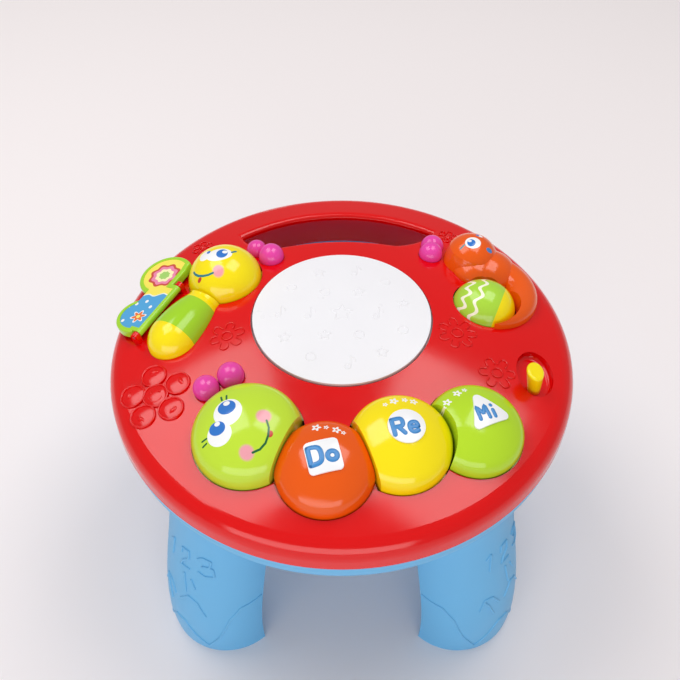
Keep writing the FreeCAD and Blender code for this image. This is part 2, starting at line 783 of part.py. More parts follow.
def wing_hinge_y():
    """Place of the hinge axis across the wing, set off from the body's axis."""
    return wing_frame().inverse().multVec(body_frame().Base).y + WING_HINGE_OFFSET


def wing_hinge_z():
    return WING_LIFT + WING_THICKNESS / 2


def wing_block(inset, low, high):
    """Two round lobes and a bridge, drawn in by an inset, between two heights."""
    lobes = []
    for x, y, radius in (WING_LOWER_LOBE, WING_UPPER_LOBE):
        lobes.append(cylinder(radius - inset, low, high, x, y))
    x_low, x_high, y_high = WING_BRIDGE
    edge = wing_hinge_y() + WING_KNUCKLE_RADIUS + WING_EAR_GAP + inset
    bridge = box(x_low + inset, x_high - inset, edge, y_high, low, high)
    whole = lobes[0].fuse([lobes[1], bridge]).removeSplitter()
    whole = whole.common(box(-FAR, FAR, edge, FAR, low, high))
    head = wing_frame().inverse().multVec(seat(*BUTTERFLY_HEAD_PLACE).Base)
    head_reach = BUTTERFLY_HEAD_RADIUS + WING_HEAD_GAP + inset
    return whole.cut(cylinder(head_reach, low, high, head.x, head.y)).removeSplitter()


def wing_recess(low, high):
    """Room for the sheet, drawn in from the rim and out over the knuckle."""
    start, end = WING_KNUCKLE_SPAN
    y = wing_hinge_y()
    inset = WING_SHEET_INSET
    strip = box(start + inset, end - inset, y, y + 2 * WING_KNUCKLE_RADIUS + inset, low, high)
    return wing_block(inset, low, high).fuse(strip).removeSplitter()


def rod_along_x(radius, start, end, y, z):
    return Part.makeCylinder(radius, end - start, vector(start, y, z), vector(1, 0))


def make_wing():
    """Rounded plate with a recess for its sheet and a knuckle on the hinge pin."""
    top = WING_LIFT + WING_THICKNESS
    plate = wing_block(0, WING_LIFT, top)
    rim = [edge for edge in plate.Edges if edge.BoundBox.ZMin > top - 0.01]
    plate = plate.makeFillet(WING_ROUNDING, rim)
    start, end = WING_KNUCKLE_SPAN
    y = wing_hinge_y()
    z = wing_hinge_z()
    knuckle = rod_along_x(WING_KNUCKLE_RADIUS, start, end, y, z)
    web = box(start, end, y, y + 2 * WING_KNUCKLE_RADIUS, WING_LIFT, top)
    bore = rod_along_x(WING_PIN_RADIUS + WING_PIN_CLEARANCE, start - 1, end + 1, y, z)
    whole = plate.fuse([knuckle, web]).cut(bore)
    recess = wing_recess(top - WING_SHEET_DEPTH, top + 1)
    return seated(whole.cut(recess), wing_frame())


def make_wing_sheet():
    low = WING_LIFT + WING_THICKNESS - WING_SHEET_DEPTH
    return seated(wing_recess(low, low + WING_SHEET_THICKNESS), wing_frame())


def wing_ears():
    """Two ears that rise from the shell beyond the ends of the wing's knuckle."""
    start, end = WING_KNUCKLE_SPAN
    y = wing_hinge_y()
    z = wing_hinge_z()
    ears = []
    for low in (start - WING_EAR_GAP - WING_EAR_LENGTH, end + WING_EAR_GAP):
        high = low + WING_EAR_LENGTH
        ear = rod_along_x(WING_KNUCKLE_RADIUS, low, high, y, z)
        foot = box(low, high, y - WING_KNUCKLE_RADIUS, y + WING_KNUCKLE_RADIUS, -SHELL_WALL, z)
        ears.append(seated(ear.fuse(foot).cut(wing_pin_rod()), wing_frame()))
    return ears


def wing_pin_rod():
    start, end = WING_KNUCKLE_SPAN
    reach = WING_EAR_GAP + WING_EAR_LENGTH
    return rod_along_x(WING_PIN_RADIUS, start - reach, end + reach, wing_hinge_y(), wing_hinge_z())


def make_wing_pin():
    return seated(wing_pin_rod(), wing_frame())


# Snail


def ring_solid(radius, half_width, height, skirt):
    """Round ring of half elliptical section on a skirt, about Z."""
    right = quarter_ellipse(half_width, height)
    left = right.mirror(vector(0, 0), vector(1, 0))
    edges = [
        right,
        left,
        line(vector(-half_width, 0), vector(-half_width, -skirt)),
        line(vector(-half_width, -skirt), vector(half_width, -skirt)),
        line(vector(half_width, -skirt), vector(half_width, 0)),
    ]
    face = Part.Face(Part.Wire(Part.__sortEdges__(edges)))
    face.translate(vector(radius, 0))
    shape = face.revolve(vector(0, 0), vector(0, 1), 360)
    shape.rotate(vector(0, 0), vector(1, 0), 90)
    return shape


def snail_form(shrink):
    """Head, neck, chest and ring together, drawn in by a wall."""
    crowns = (
        (SNAIL_HEAD_PLACE, SNAIL_HEAD_RADIUS, SNAIL_HEAD_HEIGHT),
        (SNAIL_NECK_PLACE, SNAIL_NECK_RADIUS, SNAIL_NECK_HEIGHT),
        (SNAIL_CHEST_PLACE, SNAIL_CHEST_RADIUS, SNAIL_CHEST_HEIGHT),
    )
    crowns = [
        seated(bubble(radius - shrink, height - shrink, SNAIL_SKIRT), seat(*place))
        for place, radius, height in crowns
    ]
    half_width = SNAIL_RING_HALF_WIDTH - shrink
    height = SNAIL_RING_HEIGHT - shrink
    ring = seated(ring_solid(SNAIL_RING_RADIUS, half_width, height, SNAIL_SKIRT), seat(*SNAIL_RING_PLACE))
    corners = [EGG_PLACE, SNAIL_RING_START, (FAR, -FAR), (FAR, FAR), SNAIL_RING_END]
    ring = ring.common(prism(polygon(corners), 0, FAR))
    return ring.fuse(crowns)


def make_snail_body():
    outer = snail_form(0).cut(egg_room(EGG_GAP))
    hollow = snail_form(SNAIL_WALL).cut(egg_room(EGG_GAP + SNAIL_WALL))
    body = outer.cut(hollow).cut(dome_solid(0, TRAY_BOTTOM))
    return biggest(body)


def biggest(shape):
    """The main solid of a cut, without slivers left beside it."""
    return max(shape.Solids, key=lambda solid: solid.Volume)


def egg_frame():
    spot = seat(EGG_PLACE[0], EGG_PLACE[1], EGG_HEADING)
    return spot.multiply(FreeCAD.Placement(vector(0, 0, -EGG_SINK), FreeCAD.Rotation()))


def egg_half(reach, radius):
    edges = [
        quarter_ellipse(reach, radius),
        line(vector(0, radius), vector(0, 0)),
        line(vector(0, 0), vector(reach, 0)),
    ]
    return turn(edges, vector(1, 0))


def egg_solid(grow):
    """Egg about X, its blunt end towards +X."""
    blunt = egg_half(EGG_BLUNT_LENGTH + grow, EGG_RADIUS + grow)
    tip = egg_half(EGG_TIP_LENGTH + grow, EGG_RADIUS + grow)
    tip.rotate(vector(0, 0), UP, 180)
    return blunt.fuse(tip).removeSplitter()


def egg_form(grow):
    return seated(egg_solid(grow), egg_frame())


def egg_room(grow):
    """The egg's outline carried straight up, so that the body leaves all of it in view."""
    quarters = []
    for reach, across in ((EGG_BLUNT_LENGTH, 0), (EGG_TIP_LENGTH, 180)):
        edges = [
            quarter_ellipse(reach + grow, EGG_RADIUS + grow),
            line(vector(0, EGG_RADIUS + grow), vector(0, 0)),
            line(vector(0, 0), vector(reach + grow, 0)),
        ]
        quarter = prism(Part.Wire(Part.__sortEdges__(edges)), 0, FAR / 8)
        for mirrored in (quarter, quarter.mirror(vector(0, 0), vector(0, 1))):
            mirrored.rotate(vector(0, 0), UP, across)
            quarters.append(mirrored)
    column = quarters[0].fuse(quarters[1:]).removeSplitter()
    return egg_form(grow).fuse(seated(column, egg_frame()))


def make_egg_part(x_low, x_high):
    shell = egg_solid(0).cut(egg_solid(-EGG_WALL))
    hub = rod_along_x(AXLE_RADIUS + EGG_WALL, -EGG_TIP_LENGTH, EGG_BLUNT_LENGTH, 0, 0)
    whole = shell.fuse(hub.common(egg_solid(0)))
    whole = whole.cut(rod_along_x(AXLE_RADIUS, -FAR, FAR, 0, 0))
    return seated(whole.common(box(x_low, x_high, -FAR, FAR, -FAR, FAR)), egg_frame())


def make_egg():
    return make_egg_part(-FAR, EGG_SEAM)


def make_egg_end():
    return make_egg_part(EGG_SEAM, FAR)


def bearing_starts():
    """Where the two bearings begin, beyond each end of the egg and its gap."""
    left = -EGG_TIP_LENGTH - EGG_GAP - BEARING_GAP - BEARING_LENGTH
    right = EGG_BLUNT_LENGTH + EGG_GAP + BEARING_GAP
    return left, right


def make_egg_axle():
    left, right = bearing_starts()
    return seated(rod_along_x(AXLE_RADIUS, left, right + BEARING_LENGTH, 0, 0), egg_frame())


def egg_bearings():
    """Two blocks under the shell with a running bore for the axle."""
    blocks = []
    half = BEARING_HALF_WIDTH
    for start in bearing_starts():
        end = start + BEARING_LENGTH
        block = box(start, end, -half, half, EGG_SINK - BEARING_BOTTOM, EGG_SINK - SHELL_WALL / 2)
        bore = rod_along_x(AXLE_RADIUS + AXLE_CLEARANCE, start, end, 0, 0)
        blocks.append(seated(block.cut(bore), egg_frame()))
    return blocks


# Feelers


def feeler_balls(pair, grow):
    balls = []
    for x, y, radius in pair:
        ball = Part.makeSphere(radius + grow, vector(0, 0, FEELER_RISE))
        balls.append(seated(ball, seat(x, y)))
    return balls


def make_feelers(pair):
    """Two balls joined by a bar under the shell."""
    balls = feeler_balls(pair, 0)
    (ax, ay, _), (bx, by, _) = pair
    start = seat(ax, ay).multVec(vector(0, 0, -FEELER_BAR_DEPTH))
    end = seat(bx, by).multVec(vector(0, 0, -FEELER_BAR_DEPTH))
    bar = Part.makeCylinder(FEELER_BAR_RADIUS, (end - start).Length, start, end - start)
    return balls[0].fuse([balls[1], bar]).removeSplitter()


# Selector peg and its dish


def dish_frame():
    return seat(*DISH_PLACE)


def dish_cup():
    """Thickening under the shell that the dish is sunk in."""
    half_width = DISH_HALF_WIDTH + DISH_WALL
    half_length = DISH_HALF_LENGTH + DISH_WALL
    return elliptical_prism(half_width, half_length, -DISH_DEPTH - DISH_WALL, -SHELL_WALL / 2)


def dish_cut():
    bowl = elliptical_prism(DISH_HALF_WIDTH, DISH_HALF_LENGTH, -DISH_DEPTH, FAR / 8)
    floor_rim = [edge for edge in bowl.Edges if edge.BoundBox.ZMax < -DISH_DEPTH + 0.01]
    return bowl.makeFillet(DISH_DEPTH / 2, floor_rim)


def peg_slot():
    half = PEG_NECK_RADIUS + PEG_SLOT_CLEARANCE
    low = -DISH_DEPTH - DISH_WALL - 1
    ends = [cylinder(half, low, 0, 0, y) for y in (PEG_START, PEG_START + PEG_TRAVEL)]
    middle = box(-half, half, PEG_START, PEG_START + PEG_TRAVEL, low, 0)
    return middle.fuse(ends)


def make_peg():
    """Peg that widens to a rounded top, on a neck through the slot and a plate below."""
    foot = -DISH_DEPTH + PEG_FLOOR_GAP
    lower = Part.Wire(Part.makeCircle(PEG_FOOT_RADIUS, vector(0, 0, foot)))
    curve = Part.Ellipse(vector(0, 0), PEG_TOP_HALF_LENGTH, PEG_TOP_HALF_WIDTH).toShape()
    upper = Part.Wire(curve)
    upper.rotate(vector(0, 0), UP, 90)
    upper.translate(vector(-PEG_LEAN, 0, PEG_HEIGHT))
    lower.rotate(vector(0, 0), UP, 90)
    body = Part.makeLoft([lower, upper], True)
    top = [edge for edge in body.Edges if edge.BoundBox.ZMin > PEG_HEIGHT - 0.01]
    body = body.makeFillet(PEG_TOP_ROUNDING, top)
    plate_top = -DISH_DEPTH - DISH_WALL - PEG_FLOOR_GAP
    neck = cylinder(PEG_NECK_RADIUS, plate_top - PEG_PLATE_THICKNESS, foot + 1)
    plate = cylinder(PEG_PLATE_RADIUS, plate_top - PEG_PLATE_THICKNESS, plate_top)
    peg = body.fuse([neck, plate]).removeSplitter()
    peg.translate(vector(0, PEG_START))
    return seated(peg, dish_frame())


def make_slide_switch():
    """Switch under the peg's plate, held by two legs of the dish."""
    top = -DISH_DEPTH - DISH_WALL - PEG_PLATE_THICKNESS - 2 * PEG_FLOOR_GAP
    width, length, height = SWITCH_SIZE
    middle = PEG_START + PEG_TRAVEL / 2
    body = box(-width / 2, width / 2, middle - length / 2, middle + length / 2, top - height, top)
    return seated(body, dish_frame())


def switch_legs():
    """Legs from the dish down both ends of the slide switch."""
    top = -DISH_DEPTH - DISH_WALL
    width, length, height = SWITCH_SIZE
    middle = PEG_START + PEG_TRAVEL / 2
    bottom = top - PEG_PLATE_THICKNESS - 2 * PEG_FLOOR_GAP - height
    legs = []
    for side in (-1, 1):
        near = middle + side * length / 2
        far = near + side * DISH_WALL
        leg = box(-width / 2, width / 2, min(near, far), max(near, far), bottom, top + DISH_WALL / 2)
        legs.append(seated(leg, dish_frame()))
    return legs


# Shell


def shell_bosses():
    bosses = []
    for x, y in case_screw_places():
        boss = tube(BOSS_RADIUS, SCREW_RADIUS + SCREW_CLEARANCE, BOSS_SPLIT_HEIGHT, FAR, x, y)
        bosses.append(boss.common(dome_solid(SHELL_WALL / 2, TRAY_BOTTOM)))
    return bosses


def shell_case():
    """Dome with the hand hole and its walls, open below."""
    outer = dome_solid(0, SHELL_BOTTOM).cut(prism(hand_hole_wire(0), 0, FAR))
    brim = []
    for edge in outer.Edges:
        on_hole = edge.BoundBox.ZMin > SHELL_BOTTOM + 1 and edge.BoundBox.YMin > PAD_Y + PAD_RADIUS
        if on_hole and edge.BoundBox.ZLength < edge.BoundBox.XLength + edge.BoundBox.YLength:
            brim.append(edge)
    outer = outer.makeFillet(HAND_HOLE_ROUNDING, brim)
    inner = dome_solid(SHELL_WALL, SHELL_BOTTOM - 1)
    inner = inner.cut(prism(hand_hole_wire(SHELL_WALL), 0, FAR))
    return outer.cut(inner)


def make_top_shell():
    shell = shell_case()
    added = shell_bosses() + egg_bearings() + wing_ears() + switch_legs()
    added.append(seated(dish_cup(), dish_frame()))
    shell = shell.fuse(added)
    cuts = key_openings()
    cuts.append(cylinder(PAD_RADIUS + PAD_GAP, TRAY_FLOOR, FAR, 0, PAD_Y))
    cuts.append(butterfly_head_room())
    cuts.append(body_room())
    cuts.append(egg_form(EGG_GAP))
    cuts.append(seated(dish_cut(), dish_frame()))
    cuts.append(seated(peg_slot(), dish_frame()))
    for pair in (WORM_FEELERS, BUTTERFLY_FEELERS, SNAIL_FEELERS):
        cuts.extend(feeler_balls(pair, FEELER_FIT))
    return shell.cut(cuts)


# Tray


def leg_place(index):
    """Plan place of a leg's collar, counted from the front left one clockwise."""
    spot = polar(LEG_COLLAR_U, math.radians(180 + LEG_ANGLE + 90 * index))
    return spot.x, spot.y


def tray_posts():
    """Screw posts from the tray's floor to the shell's bosses, with wells from below."""
    posts = []
    wells = []
    for x, y in case_screw_places():
        posts.append(cylinder(BOSS_RADIUS, TRAY_BOTTOM, BOSS_SPLIT_HEIGHT, x, y))
        wells.append(cylinder(SCREW_WELL_RADIUS, 0, BOSS_SPLIT_HEIGHT - SCREW_SEAT, x, y))
        wells.append(cylinder(SCREW_RADIUS + SCREW_CLEARANCE, 0, FAR, x, y))
    return posts, wells


def board_posts():
    """Posts for the boards: plan place and height of each board's underside."""
    spots = []
    x, y = MAIN_BOARD_PLACE
    half_x = MAIN_BOARD_SIZE[0] / 2 - BOARD_HOLE_INSET
    half_y = MAIN_BOARD_SIZE[1] / 2 - BOARD_HOLE_INSET
    for side_x in (-1, 1):
        for side_y in (-1, 1):
            spots.append((x + side_x * half_x, y + side_y * half_y, MAIN_BOARD_HEIGHT))
    for x, y in KEY_BOARD_POSTS:
        spots.append((x, y, KEY_BOARD_HEIGHT))
    for angle in LIGHT_BOARD_POST_ANGLES:
        spot = polar(LIGHT_BOARD_POST_CIRCLE, math.radians(angle)) + vector(0, PAD_Y)
        spots.append((spot.x, spot.y, LIGHT_BOARD_HEIGHT))
    x, y = BUTTERFLY_HEAD_PLACE
    for side in (-1, 1):
        spots.append((x + side * BUTTERFLY_BOARD_POST_SPREAD, y, BUTTERFLY_BOARD_HEIGHT))
    return spots


def battery_half_sizes():
    """Half width and half length of the room inside the battery box."""
    pitch = 2 * (CELL_RADIUS + CELL_CLEARANCE)
    return CELL_COUNT * pitch / 2, CELL_LENGTH / 2 + BATTERY_END_ROOM


def battery_block(spread, low, high):
    half_x, half_y = battery_half_sizes()
    half_x += spread
    half_y += spread
    x, y = BATTERY_PLACE
    return box(x - half_x, x + half_x, y - half_y, y + half_y, low, high)


def grille_holes():
    """Round holes in rows under the loudspeaker."""
    holes = []
    steps = int(SPEAKER_RADIUS / GRILLE_PITCH)
    for column in range(-steps, steps + 1):
        for row in range(-steps, steps + 1):
            x = column * GRILLE_PITCH
            y = row * GRILLE_PITCH
            if math.hypot(x, y) < SPEAKER_RADIUS - SPEAKER_RIM_WIDTH - GRILLE_HOLE_RADIUS:
                place = (SPEAKER_PLACE[0] + x, SPEAKER_PLACE[1] + y)
                holes.append(cylinder(GRILLE_HOLE_RADIUS, TRAY_BOTTOM - 1, TRAY_FLOOR + 1, *place))
    return holes


def make_base_tray():
    tray = tray_solid(0, SHELL_BOTTOM).cut(tray_solid(TRAY_WALL, SHELL_BOTTOM + 1))
    ring_radius = RIM_RADIUS - SHELL_WALL - LOCATING_CLEARANCE
    ring_top = SHELL_BOTTOM + LOCATING_RING_HEIGHT
    ring = tube(ring_radius, ring_radius - LOCATING_RING_WALL, SHELL_BOTTOM - TRAY_WALL, ring_top)
    hole_wall = prism(hand_hole_wire(TRAY_WALL), TRAY_BOTTOM, SHELL_BOTTOM)
    speaker_ring = tube(
        SPEAKER_RADIUS + SPEAKER_FIT + SPEAKER_RING_WALL, SPEAKER_RADIUS + SPEAKER_FIT,
        TRAY_BOTTOM + TRAY_WALL / 2, TRAY_FLOOR + SPEAKER_RING_HEIGHT, *SPEAKER_PLACE)
    posts, wells = tray_posts()
    cuts = wells + grille_holes()
    for x, y, top in board_posts():
        posts.append(cylinder(BOARD_POST_RADIUS, TRAY_BOTTOM + TRAY_WALL / 2, top, x, y))
        cuts.append(cylinder(SCREW_RADIUS + SCREW_CLEARANCE, top - BOARD_SCREW_LENGTH, top + 1, x, y))
    tray = tray.fuse([ring, hole_wall, speaker_ring] + posts)
    cuts.append(prism(hand_hole_wire(0), 0, FAR))
    for index in range(4):
        x, y = leg_place(index)
        cuts.append(cylinder(LEG_COLLAR_RADIUS + LEG_COLLAR_CLEARANCE, 0, TRAY_FLOOR + 1, x, y))
    cuts.append(battery_block(DOOR_CLEARANCE, 0, TRAY_FLOOR + 1))
    cuts.append(door_tab(DOOR_CLEARANCE, 0, TRAY_FLOOR + 1))
    return tray.cut(cuts)


# Batteries


def door_tab(spread, low, high):
    """Rounded tab of the door that its screw goes through."""
    x, y = door_screw_spot()
    radius = 2 * SCREW_HEAD_RADIUS + spread
    return cylinder(radius, low, high, x, y - BATTERY_WALL)


def door_screw_spot():
    x, y = BATTERY_PLACE
    return x, y + battery_half_sizes()[1] + SCREW_HEAD_RADIUS + BATTERY_WALL


def make_battery_door():
    plate = battery_block(0, TRAY_BOTTOM, TRAY_FLOOR).fuse(door_tab(0, TRAY_BOTTOM, TRAY_FLOOR))
    x, y = door_screw_spot()
    head_top = TRAY_BOTTOM + DOOR_HEAD_DEPTH
    head_room = cylinder(SCREW_HEAD_RADIUS + SCREW_CLEARANCE, 0, head_top, x, y)
    hole = cylinder(SCREW_RADIUS + SCREW_CLEARANCE, 0, FAR, x, y)
    return plate.removeSplitter().cut([head_room, hole])


def make_battery_box():
    """Lidded box on the tray's floor, open below to the door."""
    top = TRAY_FLOOR + 2 * (CELL_RADIUS + CELL_CLEARANCE)
    outer = battery_block(BATTERY_WALL + DOOR_CLEARANCE, TRAY_FLOOR, top + BATTERY_WALL)
    inner = battery_block(0, TRAY_FLOOR, top)
    x, y = door_screw_spot()
    boss_radius = 2 * SCREW_HEAD_RADIUS + DOOR_CLEARANCE + BATTERY_WALL / 2
    boss = cylinder(boss_radius, TRAY_FLOOR, TRAY_FLOOR + DOOR_BOSS_HEIGHT, x, y)
    hole_top = TRAY_FLOOR + DOOR_BOSS_HEIGHT - 1
    hole = cylinder(SCREW_RADIUS + SCREW_CLEARANCE, TRAY_FLOOR, hole_top, x, y)
    return outer.fuse(boss).cut([inner, hole])


def cell_centres():
    pitch = 2 * (CELL_RADIUS + CELL_CLEARANCE)
    first = BATTERY_PLACE[0] - pitch * (CELL_COUNT - 1) / 2
    return [first + pitch * index for index in range(CELL_COUNT)]


def make_cells():
    cells = []
    z = TRAY_FLOOR + CELL_RADIUS
    for index, x in enumerate(cell_centres()):
        way = 1 if index % 2 == 0 else -1
        start = vector(x, BATTERY_PLACE[1] - way * CELL_LENGTH / 2, z)
        can = Part.makeCylinder(CELL_RADIUS, CELL_LENGTH - CELL_NUB_HEIGHT, start, vector(0, way))
        nub = Part.makeCylinder(CELL_NUB_RADIUS, CELL_LENGTH, start, vector(0, way))
        cells.append(can.fuse(nub).removeSplitter())
    return Part.makeCompound(cells)


def make_battery_contacts():
    """Spring plates at both ends of every cell, against the box's end walls."""
    plates = []
    half_y = battery_half_sizes()[1]
    low = TRAY_FLOOR + CELL_RADIUS - CONTACT_HALF_WIDTH
    high = TRAY_FLOOR + CELL_RADIUS + CONTACT_HALF_WIDTH
    for x in cell_centres():
        for side in (-1, 1):
            wall = BATTERY_PLACE[1] + side * half_y
            inner = wall - side * CONTACT_THICKNESS
            left = x - CONTACT_HALF_WIDTH
            right = x + CONTACT_HALF_WIDTH
            plate = box(left, right, min(wall, inner), max(wall, inner), low, high)
            reach = BATTERY_END_ROOM - CONTACT_THICKNESS - CONTACT_CLEARANCE / 2
            spring = Part.makeCone(
                CONTACT_SPRING_RADIUS, CONTACT_SPRING_TIP_RADIUS, reach,
                vector(x, inner, TRAY_FLOOR + CELL_RADIUS), vector(0, -side))
            plates.append(plate.fuse(spring))
    return Part.makeCompound(plates)


# Boards


def board_holes(height):
    """Screw clearance holes of the board that lies at a height."""
    radius = SCREW_RADIUS + BOARD_HOLE_CLEARANCE
    spots = [(x, y) for x, y, top in board_posts() if top == height]
    return [cylinder(radius, height, height + BOARD_THICKNESS, x, y) for x, y in spots]


def make_main_board():
    x, y = MAIN_BOARD_PLACE
    half_x = MAIN_BOARD_SIZE[0] / 2
    half_y = MAIN_BOARD_SIZE[1] / 2
    top = MAIN_BOARD_HEIGHT + BOARD_THICKNESS
    board = box(x - half_x, x + half_x, y - half_y, y + half_y, MAIN_BOARD_HEIGHT, top)
    return board.cut(board_holes(MAIN_BOARD_HEIGHT))


def make_main_board_parts():
    """Sealed sound chip, two capacitors and a plug row on the main board."""
    x, y = MAIN_BOARD_PLACE
    low = MAIN_BOARD_HEIGHT + BOARD_THICKNESS
    base, crown, height = CHIP_BLOB_SIZE
    parts = [Part.makeCone(base, crown, height, vector(x + CHIP_OFFSET[0], y + CHIP_OFFSET[1], low))]
    for offset_x, offset_y, radius, height in CAPACITORS:
        parts.append(cylinder(radius, low, low + height, x + offset_x, y + offset_y))
    width, depth, height = PLUG_ROW_SIZE
    front = y + PLUG_ROW_OFFSET - depth / 2
    parts.append(box(x - width / 2, x + width / 2, front, front + depth, low, low + height))
    return Part.makeCompound(parts)


def make_key_board():
    """Curved board under the four keys."""
    low = math.radians(KEY_BOARD_LEFT_ANGLE)
    high = math.radians(KEY_BOARD_RIGHT_ANGLE)
    inner = KEY_BOARD_BACK_RADIUS
    outer = KEY_BOARD_FRONT_RADIUS

    middle = (low + high) / 2
    edges = [
        arc(polar(inner, low), polar(inner, middle), polar(inner, high)),
        line(polar(inner, high), polar(outer, high)),
        arc(polar(outer, high), polar(outer, middle), polar(outer, low)),
        line(polar(outer, low), polar(inner, low)),
    ]
    wire = Part.Wire(Part.__sortEdges__(edges))
    board = prism(wire, KEY_BOARD_HEIGHT, KEY_BOARD_HEIGHT + BOARD_THICKNESS)
    return board.cut(board_holes(KEY_BOARD_HEIGHT))


def make_light_board():
    low = LIGHT_BOARD_HEIGHT
    board = cylinder(LIGHT_BOARD_RADIUS, low, low + BOARD_THICKNESS, 0, PAD_Y)
    return board.cut(board_holes(low))


def make_lights():
    lights = []
    low = LIGHT_BOARD_HEIGHT + BOARD_THICKNESS
    for index in range(LED_COUNT):
        spot = polar(LED_CIRCLE_RADIUS, math.radians(90 + 360 * index / LED_COUNT)) + vector(0, PAD_Y)
        body = cylinder(LED_RADIUS, low, low + LED_BODY_HEIGHT, spot.x, spot.y)
        cap = Part.makeSphere(LED_RADIUS, vector(spot.x, spot.y, low + LED_BODY_HEIGHT))
        lights.append(body.fuse(cap).removeSplitter())
    return Part.makeCompound(lights)


def make_butterfly_board():
    low = BUTTERFLY_BOARD_HEIGHT
    board = cylinder(BUTTERFLY_BOARD_RADIUS, low, low + BOARD_THICKNESS, *BUTTERFLY_HEAD_PLACE)
    return board.cut(board_holes(low))


def make_board_screws():
    screws = []
    for x, y, top in board_posts():
        screws.append(hanging_screw(BOARD_SCREW_LENGTH, x, y, top + BOARD_THICKNESS))
    return Part.makeCompound(screws)


def key_contact(place, board_top, stem_end):
    """Rubber dome on its board, in line with the key's stem."""
    high = axis_drop(place, stem_end) + CONTACT_CLEARANCE
    dome = cylinder(CONTACT_DOME_RADIUS, -FAR / 4, -high)
    dome = seated(dome, seat(*place))
    return dome.common(box(-FAR, FAR, -FAR, FAR, board_top, FAR))


def make_key_contact(place):
    return key_contact(place, KEY_BOARD_HEIGHT + BOARD_THICKNESS, key_stem_end())


def make_butterfly_contact():
    top = BUTTERFLY_BOARD_HEIGHT + BOARD_THICKNESS
    return key_contact(BUTTERFLY_HEAD_PLACE, top, butterfly_stem_end())


def make_pad_contact():
    low = LIGHT_BOARD_HEIGHT + BOARD_THICKNESS
    return cylinder(CONTACT_DOME_RADIUS, low, pad_stem_end() - CONTACT_CLEARANCE, 0, PAD_Y)


# Loudspeaker


def speaker_basket_cut(inset):
    """Cone-shaped room inside the loudspeaker, drawn in by an inset."""
    low = TRAY_FLOOR
    wide = SPEAKER_RADIUS - SPEAKER_RIM_WIDTH - inset
    return Part.makeCone(wide, MAGNET_RADIUS - inset, SPEAKER_DEPTH - inset, vector(*SPEAKER_PLACE, low))


def make_speaker_frame():
    low = TRAY_FLOOR
    rim = cylinder(SPEAKER_RADIUS, low, low + SPEAKER_SHEET, *SPEAKER_PLACE)
    outer = Part.makeCone(
        SPEAKER_RADIUS - SPEAKER_RIM_WIDTH + SPEAKER_SHEET, MAGNET_RADIUS + SPEAKER_SHEET, SPEAKER_DEPTH,
        vector(*SPEAKER_PLACE, low))
    roof_low = low + SPEAKER_DEPTH
    roof_radius = MAGNET_RADIUS + SPEAKER_SHEET
    roof = cylinder(roof_radius, roof_low, roof_low + SPEAKER_SHEET, *SPEAKER_PLACE)
    return rim.fuse([outer, roof]).cut(speaker_basket_cut(0)).removeSplitter()


def make_speaker_magnet():
    low = TRAY_FLOOR + SPEAKER_DEPTH + SPEAKER_SHEET
    return cylinder(MAGNET_RADIUS, low, low + MAGNET_HEIGHT, *SPEAKER_PLACE)


def make_speaker_cone():
    outer = speaker_basket_cut(CONE_CLEARANCE)
    inner = speaker_basket_cut(CONE_CLEARANCE + CONE_THICKNESS)
    return outer.cut(inner)


# Legs


def leg_wire(height, flat, reach, half_width):
    a = vector(flat, -half_width, height)
    b = vector(reach, 0, height)
    c = vector(flat, half_width, height)
    return Part.Wire([arc(a, b, c), line(c, a)])


def leg_loft(wall, side_wall):
    """Leg along +X of its own plane, drawn in by its walls."""
    wires = []
    for height, flat, reach, half_width in LEG_SECTIONS:
        wires.append(leg_wire(height, flat + wall, reach - wall, half_width - side_wall))
    return Part.makeLoft(wires, True)


def make_leg(index):
    """Hollow leg with a collar that snaps into the tray."""
    top_inside = TRAY_BOTTOM - LEG_TOP_PLATE
    outer = leg_loft(0, 0)
    room = box(0, FAR, -FAR, FAR, LEG_FLOOR_THICKNESS, top_inside)
    hollow = leg_loft(LEG_WALL, LEG_SIDE_WALL).common(room)
    leg = outer.cut(hollow).cut(tray_solid(0, FAR))
    catch_low = TRAY_FLOOR + LEG_CATCH_CLEARANCE
    catch_high = catch_low + LEG_CATCH_HEIGHT
    collar_top = TRAY_FLOOR + LEG_COLLAR_RISE
    bore_radius = LEG_COLLAR_RADIUS - LEG_COLLAR_WALL
    collar = cylinder(LEG_COLLAR_RADIUS, TRAY_BOTTOM - LEG_TOP_PLATE / 2, collar_top, LEG_COLLAR_U)
    catch = cylinder(LEG_COLLAR_RADIUS + LEG_CATCH_REACH, catch_low, catch_high, LEG_COLLAR_U)
    bore = cylinder(bore_radius, top_inside - 1, collar_top + 1, LEG_COLLAR_U)
    leg = leg.fuse([collar, catch]).cut(bore).removeSplitter()
    leg.rotate(vector(0, 0), UP, 180 + LEG_ANGLE + 90 * index)
    return leg


def make_case_screws():
    screws = []
    for x, y in case_screw_places():
        screws.append(screw(CASE_SCREW_LENGTH, x, y, BOSS_SPLIT_HEIGHT - SCREW_SEAT))
    return Part.makeCompound(screws)


def make_door_screw():
    x, y = door_screw_spot()
    return screw(DOOR_SCREW_LENGTH, x, y, TRAY_BOTTOM + DOOR_HEAD_DEPTH)


